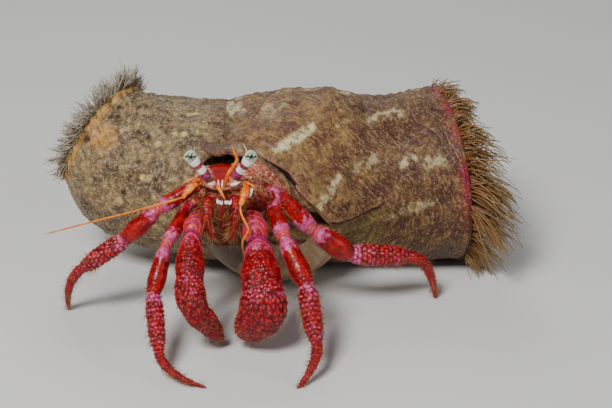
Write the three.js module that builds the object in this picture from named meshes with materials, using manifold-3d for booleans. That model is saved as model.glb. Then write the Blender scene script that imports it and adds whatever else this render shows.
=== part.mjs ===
// A large red hermit crab, life size, in a globose sea-snail shell that two sea anemones sheath.
// Millimetres, +Z up. The crab faces -Y, so its own right side is at -X.
// The crab and its shell are laid out from REST, the middle of the flat that the shell rests on,
// which ends up as the origin.
import * as THREE from "three";
import { mergeVertices } from "three/addons/utils/BufferGeometryUtils.js";
import Module from "manifold-3d";

const wasm = await Module();
wasm.setup();

// ---------------------------------------------------------------- driving dimensions
const GAP = 0.3; // clearance between neighbouring solids
const REACH = 150; // half the size of the blocks that trim the model, more than any piece needs
const CRAB_X = -23.2; // the crab's middle plane
const REST = [-10, 3, 0]; // the middle of the shell's flat, in this layout

const COLOUR = {
  red: 0xb3141c,
  pink: 0xd98a86,
  purple: 0xa8568f,
  orange: 0xe07a1c,
  white: 0xf2ece4,
  eye: 0xcfd8c0,
  shell: 0xa58a62,
  tan: 0x8d7a5c,
  maroon: 0x6e4a3c,
  tentacle: 0xa68a5c,
};

// ---------------------------------------------------------------- shape tools
const point = (x, y, z) => new THREE.Vector3(x, y, z);

/** A step of a length, by its heading from +X and its pitch from the level, in degrees. */
function reach(length, heading, pitch) {
  const h = THREE.MathUtils.degToRad(heading);
  const p = THREE.MathUtils.degToRad(pitch);
  return point(Math.cos(p) * Math.cos(h), Math.cos(p) * Math.sin(h), Math.sin(p)).multiplyScalar(length);
}

/** A smooth value at t in 0..1 through evenly spaced values. */
function along(values, t) {
  if (typeof values === "number") return values;
  const x = t * (values.length - 1);
  const i = Math.min(Math.floor(x), values.length - 2);
  const f = x - i;
  return values[i] + (values[i + 1] - values[i]) * f * f * (3 - 2 * f);
}

/** A straight line, an arc or a smooth curve through the points, as their number asks. */
function curveOf(points) {
  if (points.length === 2) return new THREE.LineCurve3(...points);
  if (points.length === 3) return new THREE.QuadraticBezierCurve3(...points);
  return new THREE.CatmullRomCurve3(points);
}

/** A closed geometry as a solid. */
function solidOf(geometry) {
  geometry.deleteAttribute("normal");
  geometry.deleteAttribute("uv");
  const merged = mergeVertices(geometry, 1e-4);
  return new wasm.Manifold(
    new wasm.Mesh({
      numProp: 3,
      vertProperties: merged.attributes.position.array,
      triVerts: new Uint32Array(merged.index.array),
    }),
  );
}

/** A block from one corner to the other. */
function block(low, high) {
  const size = high.clone().sub(low);
  const centre = low.clone().lerp(high, 0.5);
  return solidOf(new THREE.BoxGeometry(size.x, size.y, size.z).translate(centre.x, centre.y, centre.z));
}

/**
 * A sphere's grid wrapped on a curve. t runs from pole to pole, and place(t, cos, sin) gives
 * each point, where cos and sin are of the angle round the curve.
 */
function wrapped(sides, rings, place) {
  const geometry = new THREE.SphereGeometry(1, sides, rings);
  const position = geometry.attributes.position;
  const v = new THREE.Vector3();
  for (let i = 0; i < position.count; i++) {
    v.fromBufferAttribute(position, i);
    const girth = Math.hypot(v.x, v.z);
    const made = girth > 1e-9 ? place((1 + v.y) / 2, v.z / girth, v.x / girth) : place((1 + v.y) / 2, 1, 0);
    position.setXYZ(i, made.x, made.y, made.z);
  }
  return solidOf(geometry);
}

/** An end cap's share of the full width at t: 0 at both poles and 1 between, blunter as blunt grows. */
const endCap = (t, blunt) => Math.pow(Math.max(0, 1 - Math.pow(Math.abs(2 * t - 1), blunt)), 1 / blunt);

/**
 * A limb piece along a curve. wide and high are its half widths along the path, side is the
 * direction that wide is measured in, and lap is how far both ends run on into their neighbours.
 */
function limb({ points, wide, high = wide, side, sides = 8, rings = 6, blunt = 5, lap = 0 }) {
  const curve = curveOf(points);
  const chord = points.at(-1).clone().sub(points[0]);
  const across = side ? side.clone() : chord.clone().cross(point(0, 0, 1));
  return (grow) =>
    wrapped(sides, rings, (t, c, s) => {
      const tangent = curve.getTangentAt(t);
      const ax = across.clone().addScaledVector(tangent, -across.dot(tangent)).normalize();
      const up = tangent.clone().cross(ax);
      const cap = endCap(t, blunt);
      return curve
        .getPointAt(t)
        .addScaledVector(tangent, (2 * t - 1) * (grow + lap))
        .addScaledVector(ax, c * cap * (along(wide, t) + grow))
        .addScaledVector(up, s * cap * (along(high, t) + grow));
    });
}

// ---------------------------------------------------------------- the crab's walking legs
// Each row of a pose is one piece: its length, its heading and its pitch, from the hip out.
const LEG_PIECES = ["merus", "carpus", "propodus", "dactylus"];
const LEG_GIRTH = {
  merus: [1.5, 2.1, 2.3, 1.9],
  carpus: [1.5, 2.4, 2.8, 2.2],
  propodus: [2.0, 2.5, 2.4, 1.8],
  dactylus: [1.6, 1.4, 1.15, 0.85, 0.6],
};
const WALKING_LEGS = {
  right_leg2: {
    root: [-27, -30, 35.5],
    hip: [-32.5, -34, 36.5],
    pose: [[15.3, -117, -29], [13.8, -112, -51], [16.3, -80, -42], [16.0, -30, -27]],
    girth: 1.0,
  },
  right_leg3: {
    root: [-27, -27, 38.5],
    hip: [-31, -32, 41],
    pose: [[12.2, -159, -26], [12.9, 180, -44], [16.4, 171, -38], [18.2, 135, -63]],
    girth: 1.08,
  },
  left_leg2: {
    root: [-16, -30, 36],
    hip: [-9.5, -34, 36],
    pose: [[11.8, -71, -26], [14.9, -56, -43], [16.6, -77, -42], [13.2, -120, -45]],
    girth: 1.17,
  },
  left_leg3: {
    root: [-16, -27, 39],
    hip: [-9.5, -31, 39.5],
    pose: [[16.2, -10, -45], [14.4, 16, -40], [18.6, 19, -11], [17.5, 22, -58]],
    girth: 1.3,
  },
};
const LEG_HIP = [1.7, 1.8, 1.7];
const DACTYL_BOW = 0.42; // how far a dactylus runs on in the propodus's line, as a share of its length
const TIP_HEIGHT = 0.2; // height of a dactylus's tip, low enough for the floor to cut it flat
const LAP = 0.9; // how far limb pieces run into each other before they are parted

/** The joints of a limb, from its hip, through each [length, heading, pitch]. */
function jointsOf(hip, pose) {
  const joints = [point(...hip)];
  for (const row of pose) joints.push(joints.at(-1).clone().add(reach(...row)));
  return joints;
}

// ---------------------------------------------------------------- the crab's claws
const CLAWS = {
  right_claw: {
    root: [-27.5, -30, 32],
    hip: [-29.5, -36, 34],
    pose: [[8.5, -104, -12], [13.4, -91, -42], [21.1, 14, -68]],
    merus: [2.4, 3.0, 3.2, 2.6],
    carpus: [2.2, 3.3, 4.0, 3.9],
    carpusHigh: [2.0, 2.9, 3.4, 3.2],
    palm: [3.9, 4.3, 3.6, 2.4, 1.1],
    palmHigh: [3.2, 3.5, 3.0, 2.1, 1.0],
    palmBow: [-4.6, -5.5, 1.5],
    fingerWidth: [1.3, 1.6, 1.4, 0.8],
    fingerOut: 2.6,
  },
  left_claw: {
    root: [-18.5, -30, 32],
    hip: [-15.5, -36, 34],
    pose: [[9.0, -75, -24], [15.7, -83, -39], [18.6, 133, -66]],
    merus: [2.6, 3.6, 4.0, 3.2],
    carpus: [2.6, 4.4, 5.6, 5.8],
    carpusHigh: [2.4, 3.6, 4.2, 4.0],
    palm: [5.8, 6.7, 6.3, 4.6, 1.7],
    palmHigh: [3.9, 4.5, 4.1, 3.0, 1.2],
    palmBow: [4.2, -6.0, 1.0],
    fingerWidth: [1.8, 2.4, 2.0, 1.1],
    fingerOut: -4.0,
  },
};
const CLAW_HIP = [2.4, 3.0, 2.7];
const CLAW_JOINT = { lap: 1.2, blunt: 8 }; // a claw's carpus and palm meet in a broader, blunter joint
const FINGER_START = 0.42; // where the moving finger leaves the palm, as a share of its length
const FINGER_BEND = 0.78; // where it bends in, likewise
const FINGER_TIP_OUT = 0.9; // how far its tip lies beside the fixed finger's

// ---------------------------------------------------------------- the shell
const SHELL = {
  apex: [-14, 49, 17.5],
  front: [-8, -22.5, 26.8],
  widest: 0.64, // share of the axis, from the apex, where the body whorl is widest
  radius: 24.6,
  whorlRatio: 1.9, // growth of the spiral in one turn
  suture: 0.12, // depth of the groove between whorls, as a share of the radius
};
const MANTLE_EDGE = 1; // how far the anemones' feet stop short of the shell's lip
const SHEATH = 2.2; // thickness of the anemones' feet over the shell
const SEAM_X = -24; // where the two anemones' feet meet
const BARE_SPIRE_Y = 38; // the spire is bare behind this
const BARE_LIP_Z = 19; // and the lower lip below this
// The opening runs from the crab's right shoulder down to the siphon notch at its lower left.
const OPENING = {
  points: [
    point(-33, -18, 40),
    point(-24, -22, 36.5),
    point(-12, -22, 32.5),
    point(-3, -21, 26.5),
    point(8, -18, 20.5),
  ],
  wide: [9, 11.4, 9, 5.5, 2.5],
  deep: [11, 15, 15, 12, 6],
};

function shell(grow) {
  const apex = point(...SHELL.apex);
  const front = point(...SHELL.front);
  const axis = front.clone().sub(apex);
  const length = axis.length();
  axis.normalize();
  const e1 = axis.clone().cross(point(0, 0, 1)).normalize();
  const e2 = axis.clone().cross(e1);
  return wrapped(20, 11, (t, c, s) => {
    const turn = Math.atan2(s, c) / (2 * Math.PI);
    const past = Math.max(0, (t - SHELL.widest) / (1 - SHELL.widest));
    const rising = Math.pow(Math.sin((Math.PI / 2) * Math.min(1, t / SHELL.widest)), 0.85);
    const swell = rising * Math.pow(Math.max(0, 1 - Math.pow(past, 3.6)), 0.4);
    const phase = Math.log(Math.max(t, 0.01) / SHELL.widest) / Math.log(SHELL.whorlRatio) - turn;
    const fromSuture = Math.abs(phase - Math.round(phase));
    const groove = t < 0.5 ? SHELL.suture * Math.exp(-Math.pow(fromSuture / 0.16, 2)) : 0;
    const radius = swell * (SHELL.radius * (1 - groove) + grow);
    return apex
      .clone()
      .addScaledVector(axis, t * length + (2 * t - 1) * grow)
      .addScaledVector(e1, c * radius)
      .addScaledVector(e2, s * radius);
  });
}

// ---------------------------------------------------------------- the sea anemones
// Each row of a column is one ring: its centre's x, y and z, its lean and turn in degrees, and its
// two half widths, up-and-down and front-to-back. A lean turns the ring's face up, and a turn turns
// it to the back. Each row of a crown counts from the last ring: how far out, how far sunk and how
// far forward, and two half widths.
const ANEMONES = {
  right_anemone: {
    column: [
      [-14, 8, 25.5, 0, 0, 24.6, 25],
      [-24, 8, 25.6, 0, 0, 24.8, 25.4],
      [-34, 8.5, 26.4, 2, 1, 24.1, 25],
      [-44, 9, 27.8, 7, 5, 23.5, 24.4],
      [-52, 9, 30, 16, 10, 22.8, 23],
      [-57.8, 9, 33.8, 24, 15, 21.0, 21.3],
      [-60.3, 9, 37.8, 29, 19, 18.8, 19.2],
      [-61.6, 9, 40.9, 31, 22, 17.3, 17.4],
    ],
    crown: [
      [-3, 0, 0, 16.5, 16.5],
      [1.5, -1, 0, 20, 19.5],
      [4.5, -1.2, 0, 19.6, 19],
      [8.5, -1, 0, 14, 14],
    ],
    lobes: 9,
  },
  left_anemone: {
    column: [
      [-24, 8, 25.4, 0, 0, 24.8, 25.4],
      [-15, 9, 25.8, 0, 0, 26.0, 27],
      [-4, 10, 26.5, 0, 0, 26.8, 28],
      [7, 10, 26.5, 0, 0, 26.8, 28],
      [17, 11, 25.4, 0, 2, 25.7, 26.4],
      [25, 11, 25.2, 1, 5, 25.5, 25.8],
      [33, 11, 26.0, 3, 9, 26.3, 26],
      [41.5, 11, 26.8, 5, 13, 26.8, 26.6],
    ],
    crown: [
      [-4, 0, 0, 25, 25],
      [2, 1, 0, 26.5, 27.5],
      [8, 4.5, 0, 23.5, 29],
      [14, 10, 1, 17, 28],
      [19.5, 14, 2, 9, 22],
    ],
    lobes: 11,
  },
};

/** The values of a table's columns at t, from its first row to its last. */
const rowAt = (rows, t) => rows[0].map((_, k) => along(rows.map((row) => row[k]), t));

/** An anemone's ring at t, from base to mouth: its centre, outward normal, and up and back directions. */
function ringOf({ column }, heading, t) {
  const [x, y, z, lean, turn, high, deep] = rowAt(column, t);
  const [a, w] = [lean, turn].map(THREE.MathUtils.degToRad);
  const level = point(heading * Math.cos(a), 0, Math.sin(a));
  const up = point(-heading * Math.sin(a), 0, Math.cos(a));
  const rear = point(0, 1, 0);
  const normal = level.clone().multiplyScalar(Math.cos(w)).addScaledVector(rear, Math.sin(w));
  const back = rear.multiplyScalar(heading * Math.cos(w)).addScaledVector(level, -heading * Math.sin(w));
  return { centre: point(x, y, z), normal, up, back, high, deep };
}

function column(anemone, heading) {
  return (grow) =>
    wrapped(22, 10, (t, c, s) => {
      const ring = ringOf(anemone, heading, t);
      const cap = endCap(t, 16);
      return ring.centre
        .addScaledVector(ring.normal, (2 * t - 1) * grow)
        .addScaledVector(ring.up, s * cap * (ring.high + grow))
        .addScaledVector(ring.back, c * cap * (ring.deep + grow));
    });
}

/** A column joined to its share of the sheath over the shell, between two values of x. */
function sheathed(form, fromX, toX) {
  return (grow) => {
    const low = point(fromX - grow, -REACH, BARE_LIP_Z - grow);
    const high = point(toX + grow, BARE_SPIRE_Y + grow, REACH);
    return form(grow).add(shell(SHEATH + grow).intersect(block(low, high)));
  };
}

/** The tentacle crown's outer form: a dome in lobes that leaves the rim and sinks as it goes out. */
function crown(anemone, heading) {
  const rim = ringOf(anemone, heading, 1);
  return (grow) =>
    wrapped(3 * anemone.lobes, 6, (t, c, s) => {
      const [out, sunk, forward, high, deep] = rowAt(anemone.crown, t);
      const lobe = 0.5 + 0.5 * Math.cos(anemone.lobes * Math.atan2(s, c));
      const spread = endCap(t, 5) * (0.92 + 0.1 * lobe);
      return rim.centre
        .clone()
        .addScaledVector(rim.normal, out + (2 * t - 1) * grow)
        .addScaledVector(rim.up, s * spread * (high + grow))
        .addScaledVector(rim.back, c * spread * (deep + grow))
        .add(point(0, -forward, -sunk));
    });
}

// ---------------------------------------------------------------- putting it together
// Each piece is cut by the grown form of those listed before it, so that neighbours meet face to
// face with the gap between them.
const model = new THREE.Group();
const grownForms = [];
const underFloor = block(point(-REACH, -REACH, -REACH), point(REACH, REACH, 0));

const overlaps = (a, b) => [0, 1, 2].every((k) => a.min[k] < b.max[k] && b.min[k] < a.max[k]);

/** Adds a mesh to the model. form(grow) gives its solid, and cutters are taken out of it too. */
function add(name, colour, form, { roughness = 0.4, cutters = [] } = {}) {
  let solid = form(0).subtract(underFloor);
  for (const cutter of [...cutters, ...grownForms])
    if (overlaps(solid.boundingBox(), cutter.boundingBox())) solid = solid.subtract(cutter);
  solid = solid.decompose().sort((a, b) => b.volume() - a.volume())[0];
  grownForms.push(form(GAP));
  const { vertProperties, triVerts } = solid.getMesh();
  const geometry = new THREE.BufferGeometry();
  geometry.setAttribute("position", new THREE.BufferAttribute(vertProperties, 3));
  geometry.setIndex(new THREE.BufferAttribute(triVerts, 1));
  geometry.computeVertexNormals();
  const material = new THREE.MeshStandardMaterial({ color: colour, roughness, metalness: 0 });
  const mesh = new THREE.Mesh(geometry, material);
  mesh.name = name;
  model.add(mesh);
}

// The crab's body, which runs back into the shell.
const LEVEL = point(1, 0, 0); // the direction that level pieces' widths are measured in
const body = limb({
  points: [
    point(-20.5, -6, 32.4),
    point(-21, -18, 34.4),
    point(-21.6, -28, 35.8),
    point(CRAB_X, -40.4, 38.8),
  ],
  side: LEVEL,
  wide: [8.5, 12, 12.6, 9.6, 6],
  high: [7.7, 9.0, 8.8, 8.3, 6.2],
  sides: 16,
  rings: 9,
  blunt: 3,
});
add("cephalothorax", COLOUR.pink, body);

// Eyes, on stalks that stand up and out from the front of the shield.
const EYE = { radius: 1.8, inset: 1.5, outset: 1.9 };
for (const [name, side] of [["right", -1], ["left", 1]]) {
  const base = point(CRAB_X + side * 3.1, -38.2, 45.3);
  const tip = point(CRAB_X + side * 7.9, -40, 52.7);
  const on = tip.clone().sub(base).normalize();
  const [back, front] = [-EYE.inset, EYE.outset].map((d) => tip.clone().addScaledVector(on, d));
  add(`${name}_eye`, COLOUR.eye, limb({ points: [back, front], wide: EYE.radius, sides: 10, blunt: 2.2 }));
  add(`${name}_eyestalk`, COLOUR.white, limb({ points: [base, tip], wide: [1.5, 1.4, 1.5, 1.9] }));
}

// Antennules: the left one bent up over the brow, the right one folded down to the mouth.
const leftAntennule = limb({
  points: [
    point(-22.2, -40.4, 44.6),
    point(-21.2, -43, 49.3),
    point(-18.7, -44, 53.6),
    point(-19.1, -44.5, 55.8),
    point(-19.9, -45, 58.3),
  ],
  wide: [0.5, 0.5, 0.62, 0.6, 0.4],
  sides: 5,
  rings: 8,
});
add("left_antennule", COLOUR.orange, leftAntennule);
const rightAntennule = limb({
  points: [point(-24.6, -40.6, 45.4), point(-23.4, -44.4, 45.2), point(-22.1, -45.4, 42.9)],
  wide: [0.55, 0.6, 0.45],
  sides: 6,
});
add("right_antennule", COLOUR.orange, rightAntennule);

// Antennae: a stout stem each, and a long whip. The left whip hangs behind the larger claw.
const ANTENNAE = {
  right_antenna: {
    stem: [point(-29.4, -39, 45.4), point(-31.7, -43, 45.6), point(-33.7, -43.6, 42.4)],
    whip: [
      point(-33.5, -43.5, 42.6),
      point(-42.9, -42, 39),
      point(-57.6, -36, 32.4),
      point(-74.3, -28, 24.3),
    ],
  },
  left_antenna: {
    stem: [point(-16, -39, 45), point(-16.4, -43.8, 44.4), point(-17.9, -45, 40.8)],
    whip: [
      point(-17.9, -45, 41),
      point(-17.7, -46.4, 39.2),
      point(-16.7, -47.4, 37.2),
      point(-15.7, -47.9, 34.8),
      point(-17.2, -47.6, 31.6),
      point(-17.3, -45.5, 27.5),
      point(-15.5, -42, 20),
      point(-13, -39, 11),
    ],
  },
};
for (const [name, { stem, whip }] of Object.entries(ANTENNAE)) {
  add(`${name}_stem`, COLOUR.orange, limb({ points: stem, wide: [1.0, 1.2, 0.75], high: [0.9, 0.9, 0.6] }));
  const thinning = [0.55, 0.5, 0.42, 0.36];
  add(`${name}_whip`, COLOUR.orange, limb({ points: whip, wide: thinning, sides: 4, rings: 14 }));
}

// The shield over the crab's back, and the mouth's outer legs.
const shield = limb({
  points: [point(CRAB_X, -22.5, 43), point(CRAB_X, -40.6, 43.9)],
  side: LEVEL,
  wide: [7.6, 8.2, 7.6, 4.6],
  high: 1.9,
  sides: 14,
  blunt: 2.6,
});
add("carapace_shield", COLOUR.red, shield);
for (const [name, side] of [["right", -1], ["left", 1]]) {
  const [root, knee, tip] = [[3.6, -38.5, 40.6], [5, -44.6, 35.6], [1.9, -42.6, 28.8]].map(([out, y, z]) =>
    point(CRAB_X + side * out, y, z),
  );
  const girths = { wide: [1.6, 1.9, 1.5, 1.0], high: [1.3, 1.4, 1.2, 0.8] };
  add(`${name}_mouth_leg`, COLOUR.red, limb({ points: [root, knee, tip], side: LEVEL, ...girths }));
}

// Claws: hip piece, merus, carpus, palm with its fixed finger, and the moving finger on the
// inner edge.
for (const [name, claw] of Object.entries(CLAWS)) {
  const [hip, elbow, wrist, tip] = jointsOf(claw.hip, claw.pose);
  const bow = wrist.clone().lerp(tip, 0.5).add(point(...claw.palmBow));
  const besidePalm = (share, bowed) => {
    const onPalm = wrist.clone().lerp(tip, share).lerp(bow, bowed);
    return onPalm.addScaledVector(LEVEL, claw.fingerOut);
  };
  const fingerTip = tip.clone().addScaledVector(LEVEL, FINGER_TIP_OUT * Math.sign(claw.fingerOut));
  const level = (spec) => limb({ side: LEVEL, ...spec });
  const { merus, carpus, carpusHigh, palm, palmHigh, fingerWidth } = claw;
  add(`${name}_ischium`, COLOUR.pink, limb({ points: [point(...claw.root), hip], wide: CLAW_HIP, rings: 5 }));
  add(`${name}_merus`, COLOUR.purple, level({ points: [hip, elbow], wide: merus, lap: LAP, sides: 10 }));
  const carpusSpec = { points: [elbow, wrist], wide: carpus, high: carpusHigh, ...CLAW_JOINT, sides: 10 };
  add(`${name}_carpus`, COLOUR.red, level(carpusSpec));
  const fingerPath = [besidePalm(FINGER_START, 0.48), besidePalm(FINGER_BEND, 0.34), fingerTip];
  add(`${name}_finger`, COLOUR.red, level({ points: fingerPath, wide: fingerWidth }));
  const palmPath = { points: [wrist, bow, tip], wide: palm, high: palmHigh };
  const palmSpec = { ...palmPath, ...CLAW_JOINT, sides: 12, rings: 7 };
  add(`${name}_palm`, COLOUR.red, level(palmSpec));
}

// Walking legs, from the hip piece out. Each tip is cut flat by the floor that it stands on.
for (const [name, leg] of Object.entries(WALKING_LEGS)) {
  const joints = jointsOf(leg.hip, leg.pose);
  joints.at(-1).z = TIP_HEIGHT;
  const scaled = (girth) => girth.map((r) => r * leg.girth);
  const hipPath = [point(...leg.root), joints[0]];
  add(`${name}_ischium`, COLOUR.pink, limb({ points: hipPath, wide: scaled(LEG_HIP), rings: 5 }));
  LEG_PIECES.forEach((piece, i) => {
    const points = [joints[i], joints[i + 1]];
    if (piece === "dactylus") {
      const [, heading, pitch] = leg.pose[i - 1];
      points.splice(1, 0, joints[i].clone().add(reach(leg.pose[i][0] * DACTYL_BOW, heading, pitch)));
    }
    const colour = piece === "merus" ? COLOUR.pink : COLOUR.red;
    const rings = piece === "dactylus" ? 8 : 6;
    add(`${name}_${piece}`, colour, limb({ points, wide: scaled(LEG_GIRTH[piece]), rings, lap: LAP }));
  });
}

// The shell and the anemones, with the opening that the crab comes out of.
const opening = limb({
  points: OPENING.points,
  side: point(0, -1, 0),
  wide: OPENING.deep,
  high: OPENING.wide,
  sides: 16,
  rings: 9,
  blunt: 2.6,
});
add("shell", COLOUR.shell, shell, { roughness: 0.6, cutters: [opening(0)] });
const cutters = [opening(MANTLE_EDGE)];
const leftColumn = sheathed(column(ANEMONES.left_anemone, 1), SEAM_X, REACH);
add("left_anemone_column", COLOUR.maroon, leftColumn, { cutters });
const rightColumn = sheathed(column(ANEMONES.right_anemone, -1), -REACH, SEAM_X);
add("right_anemone_column", COLOUR.tan, rightColumn, { cutters });
add("left_anemone_tentacles", COLOUR.tentacle, crown(ANEMONES.left_anemone, 1));
add("right_anemone_tentacles", COLOUR.tentacle, crown(ANEMONES.right_anemone, -1));

model.position.set(...REST).negate();

export default model;
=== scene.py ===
"""A large red hermit crab, life size, in a sea-snail shell that two sea anemones sheath.

The crab faces -Y, so its own right side is at -X. Shapes are worked out in millimetres in the
crab's own layout, and a piece's points go into the row frame, in metres, as its mesh is made.
"""
import math

import bpy
import numpy as np
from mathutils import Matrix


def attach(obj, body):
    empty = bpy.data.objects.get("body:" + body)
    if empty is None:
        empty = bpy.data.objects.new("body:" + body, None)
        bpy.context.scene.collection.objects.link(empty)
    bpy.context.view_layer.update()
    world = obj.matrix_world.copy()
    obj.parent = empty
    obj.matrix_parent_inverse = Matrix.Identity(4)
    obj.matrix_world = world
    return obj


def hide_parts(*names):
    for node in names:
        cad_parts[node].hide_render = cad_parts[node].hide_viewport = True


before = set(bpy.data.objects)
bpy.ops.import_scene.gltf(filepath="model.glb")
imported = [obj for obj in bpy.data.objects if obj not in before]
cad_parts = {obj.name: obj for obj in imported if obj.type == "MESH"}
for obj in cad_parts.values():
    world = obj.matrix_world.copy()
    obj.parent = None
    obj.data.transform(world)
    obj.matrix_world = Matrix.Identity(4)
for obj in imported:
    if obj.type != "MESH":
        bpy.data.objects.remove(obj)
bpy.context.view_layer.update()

# ---------------------------------------------------------------- the studio
# A plain pale floor that runs up into a backdrop, a big soft lamp above and in front, a smaller
# one at each side, and a long lens that looks down on the crab.
CAMERA_PLACE = (0.0100, -0.4715, 0.2298)
CAMERA_TILT = 66  # degrees up from straight down
LENS = 100  # mm, on a 36 mm sensor
STUDIO_REACH = 3.0  # m, half the floor's width
LAMPS = [  # place and what it is aimed at, in m, its side, and its power in W
    ((-0.22, -0.50, 0.62), (0.0, 0.0, 0.03), 0.22, 7.4),
    ((0.62, -0.30, 0.34), (0.0, 0.0, 0.03), 0.30, 1.0),
    ((-0.10, 0.62, 0.55), (0.0, 0.0, 0.04), 0.40, 1.8),
]


def paint(red, green, blue):
    """A display colour in 0..255 as linear light: ((c + 0.055) / 1.055) ^ 2.4, straight near black."""
    shares = np.array([red, green, blue]) / 255
    linear = np.where(shares > 0.04045, ((shares + 0.055) / 1.055) ** 2.4, shares / 12.92)
    return (*linear.tolist(), 1.0)


def node(tree, kind, values=None, **settings):
    """A shader node in the tree. values sets or links its inputs, settings its own properties. Three
    numbers are a display colour."""
    made = tree.nodes.new(kind)
    for name, value in settings.items():
        setattr(made, name, value)
    for name, value in (values or {}).items():
        if isinstance(value, bpy.types.NodeSocket):
            tree.links.new(value, made.inputs[name])
        else:
            made.inputs[name].default_value = paint(*value) if isinstance(value, tuple) else value
    return made


def new_material(name):
    """A new material and its empty node tree."""
    material = bpy.data.materials.new(name)
    material.use_nodes = True
    material.node_tree.nodes.clear()
    return material, material.node_tree


def surfaced(tree, values):
    """The Principled shader with its inputs set, joined to the material's output."""
    shader = node(tree, "ShaderNodeBsdfPrincipled", values)
    node(tree, "ShaderNodeOutputMaterial", {"Surface": shader.outputs["BSDF"]})


def ramp(tree, share, stops):
    """A colour that follows a share. Each stop is a place in 0..1 and a display colour."""
    made = node(tree, "ShaderNodeValToRGB", {"Fac": share})
    elements = made.color_ramp.elements
    elements.remove(elements[0])
    elements[0].position, elements[0].color = stops[0][0], paint(*stops[0][1])
    for place, colour in stops[1:]:
        elements.new(place).color = paint(*colour)
    return made.outputs["Color"]


def sweep(reach, rise_at, height, radius=0.6, steps=24):
    """A floor whose back edge turns up a quarter circle into a wall, as one grid of points."""
    turn = np.linspace(0, math.pi / 2, steps)
    y = np.concatenate([[-reach], rise_at + radius * np.sin(turn), [rise_at + radius]])
    z = np.concatenate([[0], radius * (1 - np.cos(turn)), [height]])
    points = [(x, back, up) for back, up in zip(y, z) for x in (-reach, reach)]
    faces = [(2 * i, 2 * i + 1, 2 * i + 3, 2 * i + 2) for i in range(len(y) - 1)]
    return points, faces


def build_studio():
    """The floor and backdrop, the lamps, the sky's even light, and the camera."""
    mesh = bpy.data.meshes.new("studio_sweep")
    points, faces = sweep(STUDIO_REACH, 1.4, 2.4)
    mesh.from_pydata(points, [], faces)
    mesh.shade_smooth()
    floor = bpy.data.objects.new("studio_sweep", mesh)
    material, tree = new_material("studio_paper")
    grain = node(tree, "ShaderNodeTexNoise", {"Scale": 6.0, "Detail": 3.0}).outputs["Fac"]
    tone = ramp(tree, grain, [(0.0, (212, 211, 207)), (1.0, (222, 221, 218))])
    surfaced(tree, {"Base Color": tone, "Roughness": 0.8})
    mesh.materials.append(material)
    bpy.context.scene.collection.objects.link(floor)

    for number, (place, aim, side, power) in enumerate(LAMPS):
        light = bpy.data.lights.new(f"lamp_{number}", "AREA")
        light.size = side
        light.energy = power
        lamp = bpy.data.objects.new(f"lamp_{number}", light)
        lamp.location = place
        toward = np.array(aim) - np.array(place)
        level = math.hypot(toward[0], toward[1])
        lamp.rotation_euler = (math.atan2(level, -toward[2]), 0, math.atan2(-toward[0], toward[1]))
        bpy.context.scene.collection.objects.link(lamp)

    world = bpy.data.worlds.new("studio_sky")
    world.use_nodes = True
    sky = world.node_tree.nodes["Background"]
    sky.inputs["Color"].default_value = paint(226, 232, 240)
    sky.inputs["Strength"].default_value = 0.14
    bpy.context.scene.world = world

    camera = bpy.data.objects.new("camera", bpy.data.cameras.new("camera"))
    camera.data.lens = LENS
    camera.data.sensor_width = 36
    camera.data.clip_start = 0.01
    camera.location = CAMERA_PLACE
    camera.rotation_euler = (math.radians(CAMERA_TILT), 0, 0)
    bpy.context.scene.collection.objects.link(camera)
    bpy.context.scene.camera = camera


build_studio()

# ---------------------------------------------------------------- the walking legs
# Two pairs of jointed legs in hard glossy cuticle. The merus and carpus are smooth, banded red and
# lilac, and the propodus and dactylus carry rings of scale-like knobs. Each piece is one tube
# round a path, with its knobs, pits and joint rims raised in the mesh.
CRAB_X = -23.2  # the crab's middle plane
REST = np.array([-10.0, 3.0, 0.0])  # the layout's point that is the row frame's origin
MM = 0.001
LEG_LAP = 0.9  # mm that a limb's pieces run into each other
KNOB_RISE = 0.36  # mm, height of a leg's knobs
DACTYL_BOW = 0.42  # how far a dactylus runs on in the propodus's line, as a share of its length
TIP_HEIGHT = 0.2  # mm that the middle of a leg's tip is off the floor
WALKING_LEGS = {  # root, hip, [length, heading, pitch] of each piece from the hip out, and girth
    "right_leg2": {
        "root": [-27, -30, 35.5], "hip": [-32.5, -34, 36.5], "girth": 1.0,
        "pose": [[15.3, -117, -29], [13.8, -112, -51], [16.3, -80, -42], [16.0, -30, -27]],
    },
    "right_leg3": {
        "root": [-27, -27, 38.5], "hip": [-31, -32, 41], "girth": 1.08,
        "pose": [[12.2, -159, -26], [12.9, 180, -44], [16.4, 171, -38], [18.2, 135, -63]],
    },
    "left_leg2": {
        "root": [-16, -30, 36], "hip": [-9.5, -34, 36], "girth": 1.17,
        "pose": [[11.8, -71, -26], [14.9, -56, -43], [16.6, -77, -42], [13.2, -120, -45]],
    },
    "left_leg3": {
        "root": [-16, -27, 39], "hip": [-9.5, -31, 39.5], "girth": 1.3,
        "pose": [[16.2, -10, -45], [14.4, 16, -40], [18.6, 19, -11], [17.5, 22, -58]],
    },
}
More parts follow.
